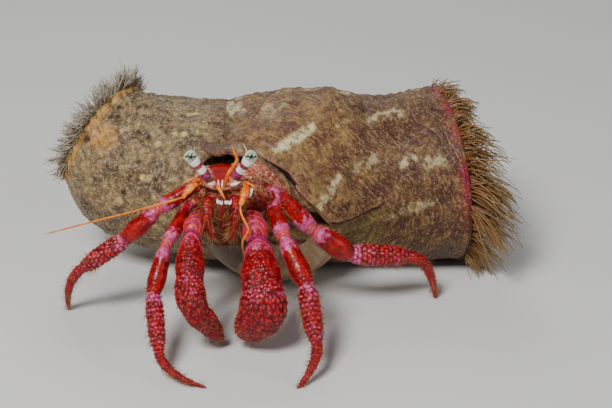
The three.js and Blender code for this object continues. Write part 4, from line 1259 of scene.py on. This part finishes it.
def left_skin(rows=340, columns=278):
    """The left anemone: its wrinkles run across it, counted from the foot's edge, and the foot's
    free edge hangs as a flap over the body."""
    points, ray, t, draw, angle = anemone_surface(LEFT_COLUMN, 1, 0.0, rows, columns)
    x, y, z = np.moveaxis(points, -1, 0)
    wall, front = (draw >= 0.999) & (t < 0.9999), y < 0
    edge_z = np.interp(x, FLAP_X, FLAP_Z)
    flap = ease((x + 2) / 3) * (1 - ease((x - 20) / 6)) * front
    # the body below the flap's edge is set back, and the mask called under gives it a painted shade
    below = flap * ease((edge_z + 0.25 - z) / 0.5) * ease((z - 4) / 12)
    second = ease((x - 8) / 4) * (1 - ease((x - 24) / 3)) * front
    layer = second * bell(z - edge_z + 2.6 - 0.1 * x, 0.45)
    # a furrow under the flap's edge, darkened with painted shade
    crease = flap * bell(z - edge_z + 0.4, 0.35)
    folds = 0.5 * swell_noise(points, 9.0, 801) + 0.35 * swell_noise(points * [1.8, 1, 1], 4.0, 802)
    rings = outside_opening(points) - 1.0 + 1.2 * swell_noise(points, 11.0, 803)
    warts, _, _, tone = nearest_seed(x / 3.3, angle / (2 * math.pi) * 46, 46, 804, 0.9)
    knob = knobs_at(points, ray, LEFT_KNOBS)
    rim = bell((1 - t) * (LEFT_COLUMN[-1][0] - SEAM_X), 1.9) * (draw > 0.9)
    lift = 0.5 * folds + 0.12 * np.sin(2 * math.pi * rings / 2.3) + 0.3 * hump(warts, 0.36) * (tone > 0.72)
    lift = lift + knob + 0.3 * layer - FLAP_DROP * below - 0.5 * crease + 0.4 * rim
    points, outside = relief(points, ray, lift, wall)
    x, y, z = np.moveaxis(points, -1, 0)
    cream = np.maximum(streaks(points, ray, LEFT_STREAKS, 810), 0.8 * back_streaks(points, angle, 812))
    brow = ease((-13 - x) / 4) * bell(np.clip(outside, 0, 9), 1.8) * front
    hem = 0.5 * flap * (1 - below) * bell(z - edge_z - 0.5, 0.5)
    # painted shade: darker towards the bottom, and also darker towards the right
    shaded = 0.75 * ease(x / 26) + 0.5 * ease((14 - z) / 16)
    masks = shared_masks(points, outside, t, draw, angle)
    masks["dark"] = np.clip(masks["dark"] + crease + 0.8 * brow, 0, 1)
    masks["edge"] = masks["edge"] * (1 - brow) + layer + hem
    masks["ring"] = outside + 0.8 * swell_noise(points, 11.0, 803)
    masks["cream"] = cream * wall * (1 - below)
    masks["under"] = np.clip(below, 0, 1)
    masks["rim"] = rim * np.clip(ease((z - 12) / 14) * (0.75 + 0.7 * swell_noise(points, 9.0, 806)), 0, 1)
    masks["shade"] = np.clip(shaded + 0.35 * swell_noise(points, 8.0, 805) + 0.25 * knob, 0, 1)
    points[..., 2] = np.maximum(z, 0.0)
    return points, masks


def right_skin(rows=330, columns=280):
    """The right anemone: finer-grained and spotted, with a collar of swollen lumps at its rim."""
    first = 1 / 7  # the column's share at the seam
    points, ray, t, draw, angle = anemone_surface(RIGHT_COLUMN, -1, first, rows, columns)
    wall, around = (draw >= 0.999) & (t < 0.9999), angle / (2 * math.pi)
    collar = ease((t - 0.88 + 0.03 * swell_noise(points, 6.0, 825)) / 0.07)
    lumps, _, _, tone = nearest_seed(t * 9, around * 26, 26, 820, 0.8)
    lump = hump(lumps, 0.62)
    folds = 0.5 * swell_noise(points, 8.0, 821) + 0.3 * swell_noise(points, 2.6, 822)
    bumps, _, _, size = nearest_seed(points[..., 0] / 2.1, around * 70, 70, 826, 0.9)
    lift = 0.6 * folds + 0.5 * hump(bumps, 0.55) * size + collar * (0.8 * lump * (0.4 + tone) - 0.45)
    points, outside = relief(points, ray, lift, wall)
    x, y, z = np.moveaxis(points, -1, 0)
    spot = np.zeros(x.shape)
    for spot_x, spot_z, radius in RIGHT_SPOTS:
        away = apart(x - spot_x, z - spot_z, ray) / radius
        spot = np.maximum(spot, ease(1.6 - 1.2 * away + 0.2 * folds))
    strewn, _, _, own = nearest_seed(x / 3.0, around * 46, 46, 823, 0.9)
    strewn = ease(1.4 - strewn / (0.1 + 0.16 * own)) * (own > 0.4)
    cream = np.maximum(streaks(points, ray, RIGHT_STREAKS, 830), 0.5 * back_streaks(points, angle, 832))
    tanned = ease(1.4 - np.hypot((x + 59) / 4.5, (z - 46) / 3.6) + 0.3 * folds) * (y < IN_FRONT)
    masks = shared_masks(points, outside, t, draw, angle)
    masks["dark"] = np.clip(masks["dark"] + np.maximum(spot * (y < IN_FRONT), 0.6 * strewn), 0, 1)
    masks["ring"] = outside + 0.7 * swell_noise(points, 7.0, 824)
    masks["cream"] = cream * wall
    masks["under"] = np.zeros_like(t)
    masks["rim"] = wall * np.maximum(collar * (0.45 + 0.55 * lump), 0.8 * tanned)
    # painted shade: darker towards the bottom, broken by noise
    masks["shade"] = np.clip(0.5 * ease((18 - z) / 16) + 0.4 * swell_noise(points, 7.0, 827), 0, 1)
    points[..., 2] = np.maximum(z, 0.0)
    return points, masks


def flesh(name, base, patch, speck, line, line_share, cream, dark, edge, under, rim, disc, shade, dapple):
    """Anemone skin: mottled flesh with fine broken wrinkles across it, pale frayed streaks, dark
    spots, painted shade in creases, in the opening, under the flap and low down, a foot edge, and a
    coloured rim. It is moist and a little velvety.

    The wrinkles are noise whose place runs at full rate along the column, which is the mask called
    ring, and at about a fifth of it round the column, so they are drawn out across it."""
    material, tree = new_material(name)
    skin = mottled(tree, base, patch, speck, 230.0, 0.85, 1300.0, 0.5)
    place = node(tree, "ShaderNodeTexCoord").outputs["Object"]
    spread = node(tree, "ShaderNodeSeparateXYZ", {0: place}).outputs
    about = {axis: reckon(tree, "MULTIPLY", spread[axis], 220.0) for axis in "YZ"}
    drawn = node(tree, "ShaderNodeCombineXYZ", {"X": mask(tree, "ring"), **about}).outputs["Vector"]
    grain = noise(tree, drawn, 1.9, 4.0)
    lines, gaps = steep(tree, grain, 0.54, 9.0), steep(tree, grain, 0.45, -9.0)
    # shade is a painted shade laid over the mottle
    colour = stained(tree, skin["Color"], ("shade", 0.85, shade))
    colour = mixed(tree, reckon(tree, "MULTIPLY", lines, line_share), colour, line)
    colour = mixed(tree, reckon(tree, "MULTIPLY", gaps, 0.8 * line_share), colour, dark)
    met = mottled(tree, (122, 94, 60), (92, 62, 44), (176, 150, 96), 260.0, 0.9, 1100.0, 0.6)
    # under lays a painted shade on the body below the flap
    colour = stained(tree, colour, ("blend", 1.0, met["Color"]), ("under", 0.8, under), ("rim", 0.92, rim))
    fray = reckon(tree, "SUBTRACT", noise(tree, place, 900.0, 3.0, 0.55), 0.5)
    fray = reckon(tree, "MULTIPLY_ADD", fray, 1.6, reckon(tree, "MULTIPLY_ADD", grain, 0.5, -0.36))
    streak = reckon(tree, "MULTIPLY", reckon(tree, "ADD", mask(tree, "cream"), fray), 1.7, 0.0, True)
    colour = stained(tree, colour, ("cream", reckon(tree, "MULTIPLY", streak, 0.9), cream))
    dappled = mottled(tree, colour, dark, speck, 640.0, dapple, 1700.0, dapple)
    # dark: the skin's own spots and the gullet, and painted shade in the opening, below the crab and in the
    # flap's crease
    layers = [("edge", 0.5, edge), ("dark", 0.85, dark), ("disc", 0.9, disc)]
    height = reckon(tree, "MULTIPLY_ADD", grain, 1.2, skin["Height"])
    sockets = {"Specular_IOR_Level": 0.3, "Sheen_Weight": 0.03}
    finish(tree, stained(tree, dappled["Color"], *layers), height, 0.0004, 0.55, 0.08, 0.3, **sockets)
    return material


maroon_flesh = flesh(
    "maroon_flesh", base=(142, 106, 62), patch=(96, 44, 38), speck=(178, 150, 90),
    line=(190, 160, 98), line_share=0.4, cream=(226, 212, 162), dark=(40, 18, 14),
    edge=(168, 112, 100), under=(110, 90, 48), rim=(156, 0, 58), disc=(120, 80, 60),
    shade=(62, 20, 22), dapple=0.4,
)
tan_flesh = flesh(
    "tan_flesh", base=(146, 120, 78), patch=(92, 72, 54), speck=(198, 182, 140),
    line=(196, 182, 148), line_share=0.32, cream=(220, 200, 130), dark=(54, 24, 12),
    edge=(150, 104, 82), under=(120, 96, 60), rim=(204, 146, 66), disc=(140, 112, 84),
    shade=(92, 62, 38), dapple=0.42,
)
tube_piece("left_anemone_skin", *left_skin(), maroon_flesh, "maroon_anemone", ["left_anemone_column"])
tube_piece("right_anemone_skin", *right_skin(), tan_flesh, "tan_anemone", ["right_anemone_column"])

# The rolled edge of the left anemone's foot, which hugs the crab where it leans out of the shell.
FOOT_EDGE = [
    (-30.4, -20, 48.2), (-28.0, -21.5, 47.2), (-25.2, -22, 46.7), (-22.5, -22, 47.1), (-20.0, -22, 47.2),
    (-17.0, -21.8, 46.3), (-14.2, -21.6, 44.4), (-11.8, -21.5, 42.2), (-9.0, -21.5, 40.2),
    (-5.8, -21.5, 37.0), (-2.6, -21.3, 33.3), (0.4, -20.8, 30.0), (2.6, -20, 27.8),
]
LAPPET = (0, 7.0, -0.6)  # mm that the edge's rear half is drawn back
FOOT_GIRTH = [0.5, 1.0, 1.15, 1.2, 1.25, 1.2, 0.9]


def foot_edge(rows=300, columns=40):
    """The edge's tube with small folds, finer than the skin's. Its rear half is drawn back, less at
    its left end, into a flap that runs up to the skin behind it."""
    form = limb_form(FOOT_EDGE, FOOT_GIRTH)
    t, angle = tube_grid(rows, columns)
    folds = 0.2 * swell_noise(on_limb(form, t, angle)[0], 2.6, 840) - 0.05
    grid, outward, _ = on_limb(form, t, angle, folds)
    drawn = ease((outward[..., 1] + 0.1) / 0.7) * (0.3 + 0.7 * ease((-8 - grid[..., 0]) / 6))
    grid = grid + drawn[..., None] * np.array(LAPPET)
    front = ease((0.6 + 0.5 * swell_noise(grid, 3.0, 841) - np.abs(t - 0.28) / 0.14) / 0.6)
    masks = {label: np.zeros_like(t) for label in ("under", "rim", "disc", "blend")}
    masks.update(ring=t * form["length"] + grid[..., 2], cream=0.7 * front * (1 - drawn))
    masks.update(edge=0.45 - 0.3 * drawn, shade=0.7 - 0.5 * drawn)
    return grid, {**masks, "dark": 0.35 * ease((-18.0 - grid[..., 0]) / 4)}


tube_piece("left_anemone_foot_edge", *foot_edge(), maroon_flesh, "maroon_anemone")

# ---------------------------------------------------------------- the tentacles
# Each mouth disc is ringed by many hundreds of thin tentacles, soft and tapering. The right crown
# is short and held up, and the left one is long and droops. They are joined closed tubes.
PATCH = 0.003  # side of a tentacle's or bristle's own patch in the bake map
FRINGE_FROM = 0.67  # where the tentacles begin, as a share of the disc's radius
FRINGE_WIDE = 0.27  # how much further out they go
TUFTS_ROUND = 46  # tufts of tentacles round the disc
TUFTS_OUT = 4  # and out across the fringe


def tuft_piece(name, paths, girths, sides, roots, material, slot, nodes=()):
    """Closed tapering tubes, one along each path, joined into one piece and kept out of the floor.

    Round each path's points stand rings of a girth's radius, square to the path, and its two ends
    are poles. Each tube's patch in the bake map lies at its root's own place."""
    count, steps, _ = paths.shape
    tangent = unit(np.gradient(paths, axis=1))
    ax = unit(np.cross(tangent, unit(np.array([0.31, 0.52, 0.79]))))
    up = np.cross(tangent, ax)
    a = 2 * math.pi * np.arange(sides) / sides
    spoke = ax[:, :, None] * np.cos(a)[:, None] + up[:, :, None] * np.sin(a)[:, None]
    rings = (paths[:, :, None] + spoke * girths[..., None, None]).reshape(count, -1, 3)
    tip = paths[:, -1:] + tangent[:, -1:] * girths[:, -1:, None]
    points = np.concatenate([paths[:, :1], rings, tip], axis=1)
    points[..., 2] = np.maximum(points[..., 2], 0.02)
    each = points.shape[1]
    shift = (np.arange(count) * each)[:, None, None]
    faces = [(shape[None] + shift).reshape(-1, shape.shape[1]) for shape in tube_faces(steps + 2, sides)]
    along = np.concatenate([[0], np.repeat(np.linspace(0, 1, steps), sides), [1]])
    turn = np.concatenate([[0.5], np.tile(np.arange(sides) / sides, steps), [0.5]])
    uv = roots[:, None] + PATCH * (np.stack([turn, along], -1)[None] - 0.5)
    masks = {"along": np.tile(along, count), "own": np.repeat(np.random.default_rng(9).random(count), each)}
    new_piece(name, points.reshape(-1, 3), *faces, masks, material, slot, nodes, uv.reshape(-1, 2))


def crown_paths(column, heading, count, reach, splay, sag, shy, seed, steps=9):
    """Tentacle paths from a mouth disc. A root lies at a random angle and a random share of the
    disc's radius, the tentacle starts between the disc's normal and straight out, by splay, and it
    sags by the square of the way along it, with a slow curl of its own. At the foot it is shorter, by
    the share called shy. Those rooted in one cell of the disc make a tuft: they lean one way and
    draw together toward their tips."""
    random = np.random.default_rng(seed)
    centre, normal, up, back, high, deep = ring_of(column, heading, np.ones(1))
    angle = random.uniform(0, 2 * math.pi, count)
    share = np.sqrt(random.uniform(0.46, 0.86, count))
    outward = up * (np.sin(angle) * high)[:, None] + back * (np.cos(angle) * deep)[:, None]
    root = centre + outward * share[:, None] + normal * (0.5 - 1.2 * (1 - share))[:, None]
    turn, out = angle / (2 * math.pi), (share - FRINGE_FROM) / FRINGE_WIDE
    cell = (turn * TUFTS_ROUND).astype(int) * TUFTS_OUT + (out * TUFTS_OUT).astype(int)
    cells = TUFTS_ROUND * TUFTS_OUT
    size = np.maximum(np.bincount(cell, minlength=cells), 1)
    tuft = np.stack([np.bincount(cell, root[:, k], cells) / size for k in range(3)], -1)[cell]
    lean = splay[0] + (splay[1] - splay[0]) * ease((share - FRINGE_FROM) / 0.26)
    lean = lean + random.normal(0, 0.12, count)
    start = normal * np.cos(lean)[:, None] + unit(outward) * np.sin(lean)[:, None]
    start = unit(start + random.normal(0, 0.2, (cells, 3))[cell] + random.normal(0, 0.13, (count, 3)))
    top = np.clip(np.sin(angle), 0, 1) ** 2
    foot = np.clip(-np.sin(angle), 0, 1) ** 2
    length = (reach[0] + (reach[1] - reach[0]) * top) * (1 - shy * foot)
    length = length * random.uniform(0.6, 1.0, count) * random.uniform(0.6, 1.15, cells)[cell]
    s = np.linspace(0, 1, steps)
    curl = unit(random.normal(size=(count, 3))) * 0.13 * length[:, None]
    wave = np.sin(math.pi * (1.3 * s[None] + random.uniform(0, 2, count)[:, None])) * s
    path = root[:, None] + start[:, None] * (length[:, None] * s)[..., None]
    path = path + (tuft - root)[:, None] * (0.7 * s**2)[:, None]
    path[..., 2] -= sag * length[:, None] * s**2
    path = path + curl[:, None] * wave[..., None]
    return path, 0.02 + 0.96 * np.stack([turn, out], -1), random


def tentacle_finish(name, root, middle, tip, speck):
    """Tentacle flesh: coloured from root to tip, each a little lighter or darker than the next."""
    material, tree = new_material(name)
    along = ramp(tree, mask(tree, "along"), [(0.0, root), (0.4, middle), (1.0, tip)])
    own = stained(tree, along, ("own", 0.6, speck))
    flecked = mottled(tree, own, root, speck, 800.0, 0.35, 2500.0, 0.2)
    finish(tree, flecked["Color"], flecked["Height"], 0.00006, 0.45, 0.2, 0.2)
    return material


TENTACLE_GIRTH = (0.28, 0.08)  # mm, half thickness at the root and at the tip
CROWNS = {  # how its tentacles stand, and their colours. reach is at the disc's sides, then at its top
    "left_anemone": (
        {"column": LEFT_COLUMN, "heading": 1, "count": 2600, "reach": (18.0, 11.0), "splay": (0.05, 0.6),
         "sag": 0.5, "shy": 0.6, "seed": 900},
        ((118, 66, 18), (152, 102, 42), (156, 132, 84), (84, 62, 36)),
    ),
    "right_anemone": (
        {"column": RIGHT_COLUMN, "heading": -1, "count": 2400, "reach": (7.8, 8.6), "splay": (0.1, 1.2),
         "sag": 0.08, "shy": 0.5, "seed": 901},
        ((128, 100, 72), (170, 158, 134), (214, 208, 192), (136, 122, 102)),
    ),
}
for name, (stand, colours) in CROWNS.items():
    paths, roots, random = crown_paths(**stand)
    paths[..., 2] = np.maximum(paths[..., 2], 0.4)
    taper = np.linspace(1, 0, paths.shape[1]) ** 0.8
    girths = TENTACLE_GIRTH[1] + (TENTACLE_GIRTH[0] - TENTACLE_GIRTH[1]) * taper
    girths = girths[None] * random.uniform(0.75, 1.15, len(paths))[:, None]
    worn = tentacle_finish(f"{name}_tentacle_flesh", *colours)
    tuft_piece(f"{name}_fringe", paths, girths, 4, roots, worn, "tentacles", [f"{name}_tentacles"])

# ---------------------------------------------------------------- the bristles
# Stiff golden-brown and black bristles stand between the crab's knobs, longest along the edges of
# its legs and round its mouth, and a few white ones on its eyes. They are joined closed tubes.
BRISTLE_GIRTH = 0.06  # mm, half thickness at the root
BRISTLES = {  # how many a piece carries, and their length in mm. leg is a mouth leg
    "ischium": (60, 1.6), "merus": (130, 1.7), "carpus": (80, 1.4), "propodus": (330, 1.9),
    "dactylus": (260, 1.7), "palm": (380, 1.7), "finger": (160, 1.5), "leg": (360, 2.6),
}


def bristle_paths(form, count, length, seed, cell, steps=4, swell=None):
    """Bristle paths on a limb. Each starts just under the surface, between straight out and along
    the limb toward its tip, and bends over toward the tip by the square of the way along. swell
    tells how far the surface stands out beyond the plain form."""
    random = np.random.default_rng(seed)
    t = random.uniform(0.06, 0.94, count)
    angle = random.uniform(0, 2 * math.pi, count)
    root, outward, tangent = on_limb(form, t, angle, -0.3)
    if swell:
        root = root + outward * swell(root, outward)[:, None]
    edge = 1 - np.abs(outward @ unit(SHOWY_SIDE))
    start = unit(outward + 0.45 * tangent + random.normal(0, 0.22, (count, 3)))
    size = length * random.uniform(0.5, 1.1, count) * (0.55 + 0.6 * edge)
    s = np.linspace(0, 1, steps)
    path = root[:, None] + start[:, None] * (size[:, None] * s)[..., None]
    path = path + tangent[:, None] * (0.45 * size[:, None] * s**2)[..., None]
    across = (cell % 7 + 0.05 + 0.9 * angle / (2 * math.pi)) / 7
    return path, np.stack([across, (cell // 7 + 0.05 + 0.9 * t) / 6], -1)


def bristle_finish(name, root, tip, dark):
    """Horny bristle: coloured from root to tip, and some of them near black."""
    material, tree = new_material(name)
    colour = mixed(tree, mask(tree, "along"), root, tip)
    colour = mixed(tree, steep(tree, mask(tree, "own"), 0.62, 30.0), colour, dark)
    fleck = mottled(tree, colour, dark, tip, 600.0, 0.2, 2000.0, 0.1)
    finish(tree, fleck["Color"], fleck["Height"], 0.00002, 0.35, 0.2, 0.15)
    return material


golden_bristle = bristle_finish("golden_bristle", (120, 66, 24), (222, 172, 92), (30, 18, 14))
white_bristle = bristle_finish("white_bristle", (226, 220, 204), (250, 248, 240), (200, 190, 170))

tufts = []  # each limb piece's bristles and their places in the bake map
for cell, (name, form) in enumerate(limbs.items()):
    tufts.append(bristle_paths(form, *BRISTLES[name.split("_")[-1]], 950 + cell, cell))
tufts.append(bristle_paths(body_form, 900, 1.7, 990, len(limbs), swell=shoulder_swell))
paths, places = (np.concatenate(parts) for parts in zip(*tufts))
girths = BRISTLE_GIRTH * np.linspace(1, 0.25, paths.shape[1])[None] + np.zeros((len(paths), 1))
tuft_piece("crab_bristles", paths, girths, 3, places, golden_bristle, "feeler")

EYE_HAIRS = [  # from and to, and half the thickness
    ((-30.9, -40.5, 54.2), (-31.2, -41.0, 56.7), 0.11),
    ((-30.5, -40.5, 54.2), (-30.3, -41.0, 56.6), 0.1),
    ((-15.9, -40.5, 54.4), (-16.9, -41.0, 57.2), 0.17),
]
paths = np.array([dense_curve([start, end], 6) for start, end, _ in EYE_HAIRS])
girths = np.array([half for _, _, half in EYE_HAIRS])[:, None] * np.linspace(1, 0.4, 6)
places = np.array([[0.91 + 0.03 * k, 0.95] for k in range(len(EYE_HAIRS))])
tuft_piece("eye_hairs", paths, girths, 6, places, white_bristle, "feeler")
